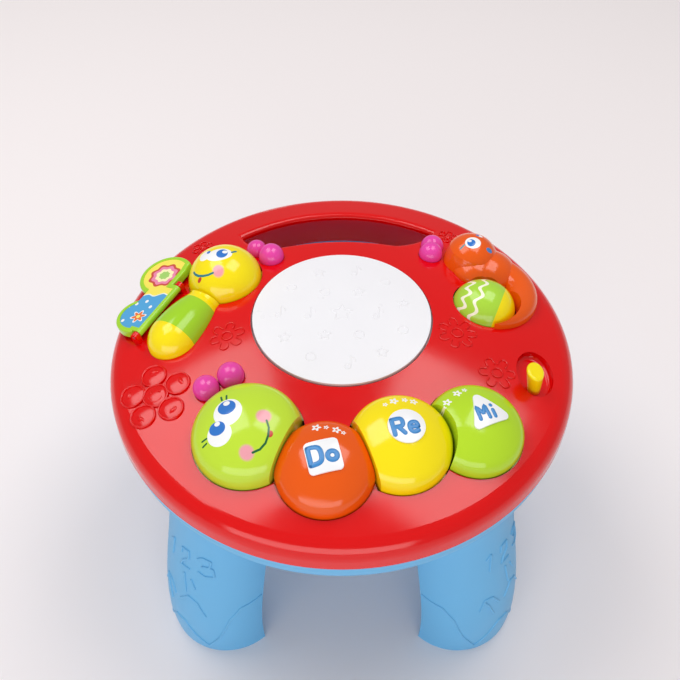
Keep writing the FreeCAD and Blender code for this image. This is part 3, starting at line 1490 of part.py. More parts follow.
def all_pieces():
    pieces = {
        "top_shell": make_top_shell(),
        "base_tray": make_base_tray(),
        "drum_pad": make_drum_pad(),
        "worm_head": make_head_key(),
        "key_do": make_do_key(),
        "key_re": make_re_key(),
        "key_mi": make_mi_key(),
        "label_square": make_square_label(),
        "label_circle": make_circle_label(),
        "label_triangle": make_triangle_label(),
        "worm_feelers": make_feelers(WORM_FEELERS),
        "butterfly_head": make_butterfly_head(),
        "butterfly_body": make_butterfly_body(),
        "butterfly_tail": make_butterfly_tail(),
        "butterfly_wing": make_wing(),
        "butterfly_wing_sheet": make_wing_sheet(),
        "wing_hinge_pin": make_wing_pin(),
        "butterfly_feelers": make_feelers(BUTTERFLY_FEELERS),
        "snail_body": make_snail_body(),
        "snail_egg": make_egg(),
        "snail_egg_end": make_egg_end(),
        "snail_egg_axle": make_egg_axle(),
        "snail_feelers": make_feelers(SNAIL_FEELERS),
        "selector_peg": make_peg(),
        "slide_switch": make_slide_switch(),
        "main_board": make_main_board(),
        "main_board_parts": make_main_board_parts(),
        "key_board": make_key_board(),
        "light_board": make_light_board(),
        "lights": make_lights(),
        "butterfly_board": make_butterfly_board(),
        "contact_head": make_key_contact(HEAD_PLACE),
        "contact_do": make_key_contact(DO_PLACE),
        "contact_re": make_key_contact(RE_PLACE),
        "contact_mi": make_key_contact(MI_PLACE),
        "contact_butterfly": make_butterfly_contact(),
        "contact_pad": make_pad_contact(),
        "speaker_frame": make_speaker_frame(),
        "speaker_magnet": make_speaker_magnet(),
        "speaker_cone": make_speaker_cone(),
        "battery_box": make_battery_box(),
        "battery_cells": make_cells(),
        "battery_contacts": make_battery_contacts(),
        "battery_door": make_battery_door(),
        "door_screw": make_door_screw(),
        "case_screws": make_case_screws(),
        "board_screws": make_board_screws(),
    }
    names = ("leg_front_left", "leg_front_right", "leg_back_right", "leg_back_left")
    for index, name in enumerate(names):
        pieces[name] = make_leg(index)
    return pieces


os.makedirs("parts", exist_ok=True)
for name, shape in all_pieces().items():
    print(name, len(shape.Solids), round(shape.Volume), shape.isValid())
    shape.exportStep(os.path.join("parts", name + ".step"))
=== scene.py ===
import math

import bmesh
import bpy
from mathutils import Matrix, Vector
from mathutils.bvhtree import BVHTree


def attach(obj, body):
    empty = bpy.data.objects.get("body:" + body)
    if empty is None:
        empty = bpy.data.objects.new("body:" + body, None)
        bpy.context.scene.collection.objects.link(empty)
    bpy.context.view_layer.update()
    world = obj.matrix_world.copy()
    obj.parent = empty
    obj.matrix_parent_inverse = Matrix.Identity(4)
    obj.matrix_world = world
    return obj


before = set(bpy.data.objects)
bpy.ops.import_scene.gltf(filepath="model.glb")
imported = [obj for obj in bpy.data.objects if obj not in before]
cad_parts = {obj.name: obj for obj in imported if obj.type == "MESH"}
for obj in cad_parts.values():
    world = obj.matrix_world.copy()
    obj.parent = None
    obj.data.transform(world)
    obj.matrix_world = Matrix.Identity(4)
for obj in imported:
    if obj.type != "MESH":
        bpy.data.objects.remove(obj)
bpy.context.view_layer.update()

# Legs: four hollow shoes of a D-shaped section, moulded in light blue plastic
# with a fine satin grain. Each snaps into the tray with a round collar. Its
# outer face carries raised figures, broken outlines and the line of a sole.

MM = 0.001


class Value:
    """A node's output that takes part in sums; every sum adds a Math node."""

    def __init__(self, finish, socket):
        self.finish = finish
        self.socket = socket

    def sum(self, operation, first, *others):
        inputs = {0: first}
        for place, other in enumerate(others, 1):
            inputs[place] = other
        return self.finish.node("ShaderNodeMath", {"operation": operation}, inputs)

    def __add__(self, other):
        return self.sum("ADD", self, other)

    def __sub__(self, other):
        return self.sum("SUBTRACT", self, other)

    def __rsub__(self, other):
        return self.sum("SUBTRACT", other, self)

    def __mul__(self, other):
        return self.sum("MULTIPLY", self, other)

    def __truediv__(self, other):
        return self.sum("DIVIDE", self, other)

    def __abs__(self):
        return self.sum("ABSOLUTE", self)

    def clamp(self):
        return self.smaller(1.0).larger(0.0)

    def smaller(self, other):
        return self.sum("MINIMUM", self, other)

    def larger(self, other):
        return self.sum("MAXIMUM", self, other)

    def root(self):
        return self.sum("SQRT", self)

    def cosine(self):
        return self.sum("COSINE", self)

    def sine(self):
        return self.sum("SINE", self)


class Finish:
    """A plastic, print or metal, built up as one shader."""

    def __init__(self, name, colour, roughness):
        self.material = bpy.data.materials.new(name)
        self.material.use_nodes = True
        self.tree = self.material.node_tree
        self.shader = self.tree.nodes["Principled BSDF"]
        self.colour = self.paint(colour)
        self.roughness = roughness
        self.height = 0.0
        self.place = self.node("ShaderNodeTexCoord", output="Object")

    def node(self, kind, settings=None, inputs=None, output=0):
        made = self.tree.nodes.new(kind)
        for name, setting in (settings or {}).items():
            setattr(made, name, setting)
        for socket, value in (inputs or {}).items():
            if isinstance(value, Value):
                self.tree.links.new(value.socket, made.inputs[socket])
            else:
                made.inputs[socket].default_value = value
        return Value(self, made.outputs[output])

    def paint(self, colour, factor=1.0):
        """Linear colour of a screen colour given in steps of 255."""
        steps = []
        for step in colour:
            share = step / 255
            linear = share / 12.92 if share <= 0.04045 else ((share + 0.055) / 1.055) ** 2.4
            steps.append(linear * factor)
        return (*steps, 1.0)

    def speckle(self, size, detail=2.0):
        """Noise round zero with blots of about that size in metres."""
        inputs = {"Vector": self.place, "Scale": 1 / size, "Detail": detail}
        return self.node("ShaderNodeTexNoise", {}, inputs) - 0.5

    def ink(self, mask, colour, factor=1.0):
        """Colour laid over the finish where the mask is one."""
        over = self.paint(colour, factor)
        mix = {"data_type": "RGBA"}
        self.colour = self.node("ShaderNodeMix", mix, {0: mask, 6: self.colour, 7: over}, 2)

    def stand_on(self, spot):
        """Coordinates x, y and z in millimetres from a place, along its axes."""
        inputs = {"Vector": self.place, "Location": spot.to_translation()}
        inputs["Rotation"] = spot.to_euler()
        inputs["Scale"] = (MM, MM, MM)
        turned = self.node("ShaderNodeMapping", {"vector_type": "TEXTURE"}, inputs)
        self.x = self.node("ShaderNodeSeparateXYZ", {}, {0: turned}, 0)
        self.y = self.node("ShaderNodeSeparateXYZ", {}, {0: turned}, 1)
        self.z = self.node("ShaderNodeSeparateXYZ", {}, {0: turned}, 2)

    def close(self):
        """Feeds what was built up to the shader and hands over the material."""
        for socket, value in (("Base Color", self.colour), ("Roughness", self.roughness)):
            if isinstance(value, Value):
                self.tree.links.new(value.socket, self.shader.inputs[socket])
            else:
                self.shader.inputs[socket].default_value = value
        if isinstance(self.height, Value):
            inputs = {"Strength": 1.0, "Distance": 1.0, "Height": self.height}
            bump = self.node("ShaderNodeBump", {}, inputs)
            self.tree.links.new(bump.socket, self.shader.inputs["Normal"])
        return self.material


def moulded(name, colour, roughness, grain, grain_size):
    """Moulded plastic: faint clouding, rubbed patches and a fine grain in metres."""
    finish = Finish(name, colour, roughness)
    finish.ink((finish.speckle(0.05, 4.0) + 0.5) * 0.16, colour, 0.72)
    finish.roughness = finish.speckle(0.018, 5.0) * 0.12 + roughness
    finish.height = finish.speckle(grain_size) * grain + finish.speckle(0.02) * 0.00003
    return finish


def dress(material, *nodes):
    """Gives CAD nodes a finish in the place of their plain one."""
    for name in nodes:
        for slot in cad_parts[name].material_slots:
            slot.material = material


def surface_of(*nodes):
    """What a ray can hit of some CAD nodes."""
    whole = bmesh.new()
    for name in nodes:
        whole.from_mesh(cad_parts[name].data)
    return BVHTree.FromBMesh(whole)


def lines_mesh(lines, width):
    """Round-ended lines as one mesh. A line is its control points, an order, and closed or not."""
    curve = bpy.data.curves.new("lines", "CURVE")
    curve.dimensions = "3D"
    curve.bevel_depth = width / 2
    curve.bevel_resolution = 2
    curve.use_fill_caps = True
    for points, order, closed in lines:
        spline = curve.splines.new("NURBS")
        spline.points.add(len(points) - 1)
        for knot, point in zip(spline.points, points):
            knot.co = (*point, 1.0)
        spline.use_cyclic_u = closed
        spline.use_endpoint_u = not closed
        spline.order_u = order
        spline.resolution_u = 6
    carrier = bpy.data.objects.new("lines", curve)
    mesh = bpy.data.meshes.new_from_object(carrier)
    bpy.data.objects.remove(carrier)
    form = bmesh.new()
    form.from_mesh(mesh)
    for points, order, closed in lines:
        for end in () if closed else (points[0], points[-1]):
            place = Matrix.Translation(end)
            bmesh.ops.create_icosphere(form, subdivisions=2, radius=width / 2, matrix=place)
    form.to_mesh(mesh)
    form.free()
    return mesh


def piece(name, mesh, material, body):
    """A finished piece that rides on a body."""
    for face in mesh.polygons:
        face.use_smooth = True
    mesh.materials.clear()
    mesh.materials.append(material)
    made = bpy.data.objects.new(name, mesh)
    bpy.context.scene.collection.objects.link(made)
    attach(made, body)


def joined(meshes):
    """Several meshes as one."""
    whole = bmesh.new()
    for mesh in meshes:
        whole.from_mesh(mesh)
    mesh = bpy.data.meshes.new("joined")
    whole.to_mesh(mesh)
    whole.free()
    return mesh


LEG_NODES = ("leg_front_left", "leg_front_right", "leg_back_left", "leg_back_right")
LEG_ANGLES = {
    "leg_front_left": -135.0,
    "leg_front_right": -45.0,
    "leg_back_left": 135.0,
    "leg_back_right": 45.0,
}
LEG_MIDDLE = 0.140
LEG_RAY = 0.2
LINE_WIDTH = 1.9
FIGURE_HEIGHT = 18.0
FIGURE_FOOT = 103
DEGREES_PER_MM = 2.2
FIGURE_ONE = [((-0.2, 0.76), (0.04, 1.0), (0.04, 0.0))]
FIGURE_TWO = [
    ((-0.26, 0.72), (-0.2, 1.04), (0.3, 1.06), (0.26, 0.6), (-0.1, 0.3), (-0.24, 0.0)),
    ((-0.24, 0.0), (0.28, 0.0)),
]
FIGURE_THREE = [
    ((-0.22, 0.9), (0.02, 1.06), (0.34, 0.94), (0.24, 0.56), (-0.04, 0.53)),
    ((-0.04, 0.53), (0.34, 0.5), (0.34, 0.02), (0.0, -0.06), (-0.26, 0.1)),
]

# Lines round a leg, each point the angle from its outer side and the height
SOLE_LINE = ((106, 66), (84, 63), (70, 50), (56, 26), (40, 8), (24, 20), (8, 34), (0, 34))
LACES = (
    ((-36, 70), (-28, 64), (-18, 50)),
    ((9, 95), (13, 76)),
    ((2, 62), (18, 72), (32, 68), (42, 54)),
    ((-40, 60), (-34, 72), (-22, 72), (-10, 62)),
    ((24, 92), (30, 84)),
)


def on_leg(surface, leg_angle, angle, height):
    """Point of a leg's face at an angle round its middle and a height in millimetres."""
    outward = math.radians(leg_angle)
    middle = Vector((math.cos(outward), math.sin(outward), 0)) * LEG_MIDDLE
    middle.z = height * MM
    toward = outward + math.radians(angle)
    side = Vector((math.cos(toward), math.sin(toward), 0))
    return surface.ray_cast(middle + side * LEG_RAY, -side)[0]


def spread(points, step):
    """The same line with points no further apart than a step."""
    filled = [Vector(points[0])]
    for point in points[1:]:
        start = filled[-1].copy()
        run = Vector(point) - start
        pieces = max(1, math.ceil(run.length / step))
        for part in range(1, pieces + 1):
            filled.append(start + run * (part / pieces))
    return filled


def figure_line(line, middle_angle):
    """Line of a figure laid round a leg, as angles and heights."""
    points = [(x * FIGURE_HEIGHT, z * FIGURE_HEIGHT) for x, z in line]
    return [(middle_angle + x * DEGREES_PER_MM, FIGURE_FOOT + z) for x, z in points]


def leg_lines(name):
    """All the raised lines of one leg."""
    surface = surface_of(name)
    rounded = [SOLE_LINE, tuple((-angle, height) for angle, height in SOLE_LINE)]
    rounded += LACES
    figures = ((FIGURE_ONE, -30.0), (FIGURE_TWO, 9.0), (FIGURE_THREE, 50.0))
    for figure, middle_angle in figures:
        rounded += [figure_line(line, middle_angle) for line in figure]
    paths = []
    for line in rounded:
        along = [on_leg(surface, LEG_ANGLES[name], *point) for point in spread(line, 4.0)]
        paths.append((along, 3, False))
    return lines_mesh(paths, LINE_WIDTH * MM)


blue = moulded("light_blue_satin", (104, 180, 228), 0.42, 0.00002, 0.0006).close()
dress(blue, *LEG_NODES)
for leg in LEG_NODES:
    piece(leg + "_lines", leg_lines(leg), blue, "table")

# Base tray: a shallow round pan of the same light blue plastic that closes the
# top from below. It is screwed to the shell and carries the legs, the speaker
# holes and the battery door.

dress(blue, "base_tray", "battery_door")

# Top shell: one glossy red moulding with a shallow dome, a rounded shoulder
# and a hand hole at the back. Smiling and plain flowers stand up from its face.

RIM_HEIGHT = 190.0
DOME_RISE = 39.5
DOME_RADIUS = 560.0
DOME_CENTRE = RIM_HEIGHT + DOME_RISE - DOME_RADIUS
DRAPE_FROM = 0.06
DRAPE_REACH = 0.08


def seat(x, y, heading=0.0):
    """Place on the dome over a plan point in millimetres, Z square to the dome."""
    out = Vector((x, y, math.sqrt(DOME_RADIUS ** 2 - x * x - y * y)))
    tilt = Vector((0, 0, 1)).rotation_difference(out).to_matrix().to_4x4()
    spin = Matrix.Rotation(math.radians(heading), 4, "Z")
    foot = Matrix.Translation((out + Vector((0, 0, DOME_CENTRE))) * MM)
    return foot @ tilt @ spin


def drape(mesh, spot, surface):
    """Lays a mesh drawn in millimetres about a spot on the surface under it."""
    down = -spot.to_3x3().col[2]
    for vertex in mesh.vertices:
        x, y, z = vertex.co
        above = spot @ Vector((x * MM, y * MM, DRAPE_FROM))
        hit = surface.ray_cast(above, down, DRAPE_REACH)[0]
        if hit is None:
            hit = spot @ Vector((x * MM, y * MM, 0))
        vertex.co = hit - down * z * MM
    mesh.update()
    return mesh


def flat_lines(lines, width, rise):
    """Round-ended lines in millimetres, flattened to a rise."""
    in_space = []
    for points, order, closed in lines:
        in_space.append(([(x, y, 0) for x, y in points], order, closed))
    mesh = lines_mesh(in_space, width)
    mesh.transform(Matrix.Diagonal((1, 1, 2 * rise / width, 1)))
    return mesh


def pillow(x, y, radius, rise, stretch=1.0, turn=0.0):
    """Low round cushion that stands up from a face."""
    form = bmesh.new()
    bmesh.ops.create_uvsphere(form, u_segments=32, v_segments=16, radius=1.0)
    size = Matrix.Diagonal((radius * stretch, radius, rise, 1))
    spin = Matrix.Rotation(math.radians(turn), 4, "Z")
    placed = Matrix.Translation((x, y, 0)) @ spin @ size
    bmesh.ops.transform(form, matrix=placed, verts=form.verts)
    mesh = bpy.data.meshes.new("pillow")
    form.to_mesh(mesh)
    form.free()
    return mesh


def circle(x, y, radius, count=12):
    """Control points of a closed round line."""
    reach = radius / math.cos(math.pi / count)
    turns = [math.tau * step / count for step in range(count)]
    return [(x + reach * math.cos(turn), y + reach * math.sin(turn)) for turn in turns]


def smiling_flower():
    """Five fat petals with raised rims round a middle with a smile."""
    meshes = []
    lines = [(circle(0, 0, 8.6), 3, True)]
    for petal in range(5):
        turn = 28 + 72 * petal
        x = 16.8 * math.cos(math.radians(turn))
        y = 16.8 * math.sin(math.radians(turn))
        meshes.append(pillow(x, y, 9.2, 1.3))
        meshes.append(pillow(x * 1.16, y * 1.16, 2.0, 2.1, 1.9, turn + 90))
        lines.append((circle(x, y, 8.4), 3, True))
    meshes.append(pillow(0, 0, 9.0, 1.7))
    lines.append((((-4.6, -2.0), (-2.6, -5.4), (2.6, -5.4), (4.6, -2.0)), 3, False))
    meshes.append(flat_lines(lines, 1.8, 1.8))
    for eye in (-3.0, 3.0):
        meshes.append(pillow(eye, 2.2, 1.2, 2.6))
    return joined(meshes)


def plain_flower(radius, petals):
    """Ring of small round petals drawn by their rims round a button."""
    lines = []
    for petal in range(petals):
        turn = math.tau * petal / petals
        reach = radius * 0.68
        spot = (reach * math.cos(turn), reach * math.sin(turn))
        lines.append((circle(*spot, radius * 0.3, 8), 3, True))
    button = pillow(0, 0, radius * 0.28, 1.3)
    return joined([flat_lines(lines, 1.3, 0.9), button])


# Arc of one petal, each point its share of the half width and of the radius
DASH = ((-1, 0.62), (-0.8, 0.95), (0, 1.06), (0.8, 0.95), (1, 0.62))


def dashed_flower(radius, petals):
    """Flower drawn by short arcs with gaps between them."""
    lines = []
    for petal in range(petals):
        middle = math.tau * petal / petals
        half = math.pi / petals * 0.72
        arc = []
        for side, reach in DASH:
            turn = middle + side * half
            arc.append((radius * reach * math.cos(turn), radius * reach * math.sin(turn)))
        lines.append((arc, 3, False))
    lines.append((circle(0, 0, radius * 0.3, 8), 3, True))
    return flat_lines(lines, 1.3, 0.9)


red = moulded("red_gloss_plastic", (226, 0, 2), 0.13, 0.000004, 0.002).close()
shell_surface = surface_of("top_shell")
FLOWERS = (
    (-125.5, -49.8, 0.0, smiling_flower()),
    (-79.8, -5.2, 20.0, dashed_flower(12.0, 6)),
    (80.5, -2.3, 0.0, dashed_flower(13.5, 7)),
    (82.8, 107.5, 10.0, plain_flower(8.5, 6)),
    (-107.4, 97.7, 30.0, plain_flower(8.5, 6)),
    (105.8, -34.1, 0.0, dashed_flower(12.5, 6)),
)
flowers = []
for x, y, heading, mesh in FLOWERS:
    flowers.append(drape(mesh, seat(x, y, heading), shell_surface))
dress(red, "top_shell")
piece("shell_flowers", joined(flowers), red, "table")

# Drum pad: a round white button of satin plastic, domed with the shell. It
# is pressed as a drum and lets the lights under it shine through. Faint notes,
# stars and rings stand up from its face.

PAD_Y = 11.0
PAD_LEVEL = 0.225


def star(x, y, radius):
    """Closed five-pointed outline."""
    points = []
    for step in range(10):
        reach = radius if step % 2 == 0 else radius * 0.48
        turn = math.radians(90 + 36 * step)
        points.append((x + reach * math.cos(turn), y + reach * math.sin(turn)))
    return [(points, 2, True)]


def note(x, y, size):
    """Stem with a flag and a round head."""
    stem = [(x + size * 0.3, y - size * 0.5), (x + size * 0.3, y + size * 0.7)]
    flag = [stem[1], (x + size * 0.8, y + size * 0.5), (x + size * 0.75, y + size * 0.1)]
    head = circle(x, y - size * 0.5, size * 0.28, 8)
    return [(stem, 2, False), (flag, 3, False), (head, 3, True)]


def pad_motifs():
    """A star in the middle and two rings of notes, stars and circles in turn."""
    lines = star(0, PAD_Y, 8.0)
    for ring, (reach, count) in enumerate(((24.0, 6), (45.0, 11))):
        for step in range(count):
            turn = math.tau * (step + 0.4 * ring) / count
            x = reach * math.cos(turn)
            y = PAD_Y + reach * math.sin(turn)
            kind = (step + ring) % 3
            if kind == 0:
                lines += note(x, y, 7.0)
            elif kind == 1:
                lines += star(x, y, 4.6)
            else:
                lines += [(circle(x, y, 3.4, 8), 3, True)]
    return lines


white = moulded("white_satin_plastic", (246, 245, 249), 0.3, 0.00001, 0.0008)
white.shader.inputs["Subsurface Weight"].default_value = 0.15
white.shader.inputs["Subsurface Radius"].default_value = (0.004, 0.004, 0.004)
white = white.close()
dress(white, "drum_pad")
level = Matrix.Translation((0, 0, PAD_LEVEL))
motifs = drape(flat_lines(pad_motifs(), 1.0, 0.25), level, surface_of("drum_pad"))
piece("pad_motifs", motifs, white, "drum_pad")

# Worm: a head and three keys of glossy plastic that are pressed down
# for sounds. The face on the head and the small flowers at the backs of the
# keys are printed.

HEAD_PLACE = (-60.7, -87.7)
KEY_PLACES = {"do": (-10.6, -112.6), "re": (37.4, -95.0), "mi": (86.5, -82.0)}
EDGE = 0.22


def blot(finish, x, y, wide, high, turn=0.0, edge=EDGE):
    """Mask of an ellipse given by its middle and half sizes in millimetres."""
    cosine = math.cos(math.radians(turn))
    sine = math.sin(math.radians(turn))
    dx = finish.x - x
    dy = finish.y - y
    across = (dx * cosine + dy * sine) / wide
    along = (dy * cosine - dx * sine) / high
    reach = (across * across + along * along).root()
    return ((1 - reach) * (min(wide, high) / edge) + 0.5).clamp()


def stroke(finish, points, width):
    """Mask of a line through some points, with round ends."""
    nearest = None
    for (ax, ay), (bx, by) in zip(points, points[1:]):
        run_x = bx - ax
        run_y = by - ay
        span = run_x * run_x + run_y * run_y
        dx = finish.x - ax
        dy = finish.y - ay
        share = ((dx * run_x + dy * run_y) / span).clamp()
        off_x = dx - share * run_x
        off_y = dy - share * run_y
        gap = (off_x * off_x + off_y * off_y).root()
        nearest = gap if nearest is None else nearest.smaller(gap)
    return ((width / 2 - nearest) / EDGE + 0.5).clamp()


def round_about(finish, x, y):
    """Distance from a middle in millimetres and the angle round it."""
    dx = finish.x - x
    dy = finish.y - y
    reach = (dx * dx + dy * dy).root()
    return reach, dy.sum("ARCTAN2", dy, dx)


def daisy(finish, x, y, radius, petals=5):
    """Mask of a small flower with scalloped edge and a hole in the middle."""
    reach, turn = round_about(finish, x, y)
    edge = (turn * petals).cosine() * (radius * 0.24) + radius * 0.76
    outside = ((edge - reach) / EDGE + 0.5).clamp()
    return outside * ((reach - radius * 0.26) / EDGE + 0.5).clamp()


def glossy(name, colour):
    """Smooth plastic with a high shine."""
    return moulded(name, colour, 0.14, 0.000003, 0.002)


WHITE_INK = (250, 250, 250)
EYE_BLUE = (52, 120, 205)
DARK_GREEN = (28, 104, 60)
CHEEK_PINK = (246, 158, 182)
MOUTH_RED = (205, 62, 48)
LIME = (186, 226, 42)
YELLOW = (255, 232, 10)
ORANGE = (240, 92, 6)

head = glossy("worm_face", (198, 232, 58))
head.stand_on(seat(*HEAD_PLACE))
head.ink(blot(head, -8.6, 6.0, 9.4, 10.2), WHITE_INK)
head.ink(blot(head, -9.5, 9.6, 6.0, 5.6), EYE_BLUE)
head.ink(blot(head, -9.9, 12.8, 2.2, 1.9), WHITE_INK)
head.ink(blot(head, -13.4, -8.6, 8.2, 7.8), WHITE_INK)
head.ink(blot(head, -14.9, -4.8, 5.5, 4.7), EYE_BLUE)
head.ink(blot(head, -15.0, -1.8, 1.9, 1.6), WHITE_INK)
head.ink(stroke(head, ((-13.4, 16.2), (-14.6, 19.6)), 1.3), DARK_GREEN)
head.ink(stroke(head, ((-10.4, 16.6), (-10.9, 20.2)), 1.3), DARK_GREEN)
head.ink(stroke(head, ((-22.2, -9.6), (-25.4, -10.6)), 1.2), DARK_GREEN)
head.ink(stroke(head, ((-22.2, -12.6), (-24.8, -14.0)), 1.2), DARK_GREEN)
head.ink(blot(head, 14.4, 1.9, 4.6, 4.6, edge=1.6) * 0.92, CHEEK_PINK)
head.ink(blot(head, 4.0, -21.3, 4.6, 4.4, edge=1.6) * 0.92, CHEEK_PINK)
head.ink(blot(head, 18.4, -9.6, 2.3, 1.7, 70), MOUTH_RED)
smile = ((16.3, -1.0), (17.7, -5.6), (17.4, -10.6), (15.6, -15.6), (12.2, -19.4), (7.7, -21.4))
head.ink(stroke(head, smile, 1.3), DARK_GREEN)
dress(head.close(), "worm_head")

do_key = glossy("do_key_orange", ORANGE)
do_key.stand_on(seat(*KEY_PLACES["do"]))
re_key = glossy("re_key_yellow", YELLOW)
re_key.stand_on(seat(*KEY_PLACES["re"]))
mi_key = glossy("mi_key_lime", LIME)
mi_key.stand_on(seat(*KEY_PLACES["mi"]))
DAISIES = (
    (do_key, ((-5.1, 22.6, 3.2), (1.2, 22.6, 1.8), (7.6, 20.6, 3.0), (12.0, 18.6, 1.7))),
    (re_key, ((-10.8, 20.8, 1.8), (-5.2, 23.8, 3.1), (1.9, 25.2, 2.2), (7.6, 24.2, 2.8))),
    (mi_key, ((-23.4, 8.0, 1.7), (-21.0, 12.4, 2.9), (-14.0, 19.8, 3.0), (-9.0, 22.8, 1.9))),
)
for finish, places in DAISIES:
    for x, y, radius in places:
        finish.ink(daisy(finish, x, y, radius), WHITE_INK)
dress(do_key.close(), "key_do")
dress(re_key.close(), "key_re")
dress(mi_key.close(), "key_mi")

# Labels: thin white tiles, square, round and three-cornered, glued on the keys.
# Each has the name of its note in fat rounded blue letters. A stroke of a letter
# is its points and an order, or a middle and radius where it is a circle.

LETTER_D = [
    (((0, 0), (0, 1)), 2),
    (((0, 1), (0.34, 1.02), (0.66, 0.86), (0.66, 0.14), (0.34, -0.02), (0, 0)), 3),
]
LETTER_O = [((0.3, 0.3), 0.25)]
LETTER_R = [
    (((0, 0), (0, 1)), 2),
    (((0, 1), (0.32, 1.02), (0.62, 0.98), (0.62, 0.5), (0.32, 0.46), (0, 0.48)), 3),
    (((0.28, 0.46), (0.6, 0.0)), 2),
]
LETTER_E = [
    (((0.06, 0.32), (0.5, 0.32)), 2),
    (
        (
            (0.5, 0.32),
            (0.52, 0.6),
            (0.2, 0.66),
            (-0.02, 0.5),
            (-0.02, 0.1),
            (0.22, -0.06),
            (0.46, 0.06),
        ),
        3,
    ),
]
LETTER_M = [(((0, 0), (0.04, 1), (0.36, 0.34), (0.68, 1), (0.72, 0)), 2)]
LETTER_I = [(((0, 0), (0, 0.5)), 2), (((0, 0.88), (0, 0.9)), 2)]
BLUE_INK = (62, 140, 208)


def lettering(letters, size, turn, middle, width):
    """Letters as lines in millimetres about a middle. A letter is its strokes and its offset."""
    lines = []
    cosine = math.cos(math.radians(turn))
    sine = math.sin(math.radians(turn))
    for strokes, offset in letters:
        for points, order in strokes:
            closed = not isinstance(order, int)
            if closed:
                points = circle(*points, order)
            placed = [((x + offset) * size, y * size) for x, y in points]
            turned = [(x * cosine - y * sine, x * sine + y * cosine) for x, y in placed]
            there = [(x + middle[0], y + middle[1]) for x, y in turned]
            lines.append((there, 3 if closed else order, closed))
    return flat_lines(lines, width, 0.35)


label_white = moulded("label_white", (250, 250, 252), 0.22, 0.000004, 0.001).close()
letter_blue = moulded("letter_blue", BLUE_INK, 0.3, 0.000004, 0.0008).close()
dress(label_white, "label_square", "label_circle", "label_triangle")

# Key, tile, letters with offsets, height, turn and the place where they start
WORDS = (
    ("do", "square", ((LETTER_D, 0.0), (LETTER_O, 0.92)), 11.6, 13.4, (-7.6, -6.0)),
    ("re", "circle", ((LETTER_R, 0.0), (LETTER_E, 0.98)), 10.6, 13.0, (-5.6, -3.6)),
    ("mi", "triangle", ((LETTER_M, 0.0), (LETTER_I, 1.14)), 9.4, 20.0, (-1.7, -2.2)),
)
for key, tile, letters, size, turn, start in WORDS:
    mesh = lettering(letters, size, turn, start, size * 0.29)
    drape(mesh, seat(*KEY_PLACES[key]), surface_of("label_" + tile))
    piece("letters_" + key, mesh, letter_blue, key + "_key")

# Feelers: pairs of glossy pink balls joined by a bar under the shell, one pair
# for each animal.

pink = glossy("feeler_pink", (238, 72, 172)).close()
dress(pink, "worm_feelers", "butterfly_feelers", "snail_feelers")

# Butterfly: a yellow head that is pressed, a green barrel with a yellow neck
# and tail fixed to the shell, and a green wing that swings up on a steel pin.
# A printed sheet is glued in the wing's recess.

BUTTERFLY_HEAD = (-86.0, 54.6)
BUTTERFLY_HEADING = -120.0
COLLAR = (-101.0, 29.9)
BARREL_LENGTH = 35.0
TEAL = (38, 128, 140)

face = glossy("butterfly_face", YELLOW)
face.stand_on(seat(*BUTTERFLY_HEAD))
face.ink(blot(face, -9.4, 0.6, 4.6, 5.2), WHITE_INK)
face.ink(blot(face, 1.2, -1.4, 9.4, 6.3, 8), WHITE_INK)
face.ink(blot(face, -7.0, 3.2, 1.5, 1.9), EYE_BLUE)
face.ink(blot(face, 3.4, -0.8, 4.1, 4.7, -12), EYE_BLUE)
face.ink(blot(face, 5.4, 0.6, 1.9, 1.7), WHITE_INK)
face.ink(stroke(face, ((10.3, 1.0), (12.6, 3.2)), 1.7), TEAL)
face.ink(blot(face, 1.0, -15.1, 4.0, 3.8, edge=1.4) * 0.92, CHEEK_PINK)
face.ink(blot(face, -13.9, -16.2, 1.7, 1.3), MOUTH_RED)
grin = ((-19.0, -7.8), (-17.4, -10.8), (-14.6, -13.6), (-10.6, -15.6), (-6.6, -16.4), (-2.8, -16.0))
face.ink(stroke(face, grin, 1.3), TEAL)
dress(face.close(), "butterfly_head")

middle_x = COLLAR[0] + BARREL_LENGTH / 2 * math.cos(math.radians(BUTTERFLY_HEADING))
middle_y = COLLAR[1] + BARREL_LENGTH / 2 * math.sin(math.radians(BUTTERFLY_HEADING))
barrel = glossy("butterfly_barrel", (166, 218, 40))
barrel.stand_on(seat(middle_x, middle_y, BUTTERFLY_HEADING))
barrel.ink(((4.2 - BARREL_LENGTH / 2 - barrel.x) / EDGE + 0.5).clamp(), YELLOW)
dress(barrel.close(), "butterfly_body")
yellow = glossy("yellow_gloss_plastic", YELLOW).close()
dress(yellow, "butterfly_tail", "snail_egg_end", "selector_peg")
wing_green = glossy("wing_green", (168, 220, 52)).close()
dress(wing_green, "butterfly_wing")

sheet = moulded("wing_print", (255, 236, 96), 0.2, 0.000003, 0.001)
sheet.stand_on(seat(-138.0, 38.0, BUTTERFLY_HEADING + 180))
SUN = (22.5, 3.5)
wave = (sheet.y * 0.55).sine() * 1.2 + 2.0 - sheet.y * 0.35
sheet.ink(((wave - sheet.x) / EDGE + 0.5).clamp(), (246, 250, 236))
sheet.ink(((wave - 1.0 - sheet.x) / EDGE + 0.5).clamp(), (84, 168, 222))
RINGS = (
    (12.6, (206, 84, 66)),
    (10.4, (240, 140, 176)),
    (7.4, (253, 246, 190)),
    (4.4, (168, 214, 110)),
)
for radius, colour in RINGS:
    reach, turn = round_about(sheet, *SUN)
    scallop = (turn * 8.0).cosine() * (radius * 0.07) + radius * 0.93
    sheet.ink(((scallop - reach) / EDGE + 0.5).clamp(), colour)
SHEET_DAISY = (-20.0, -4.5)
for radius, colour in ((6.4, WHITE_INK), (5.2, (238, 120, 60))):
    sheet.ink(daisy(sheet, *SHEET_DAISY, radius, 6), colour)
sheet.ink(blot(sheet, *SHEET_DAISY, 1.6, 1.6), (250, 232, 120))
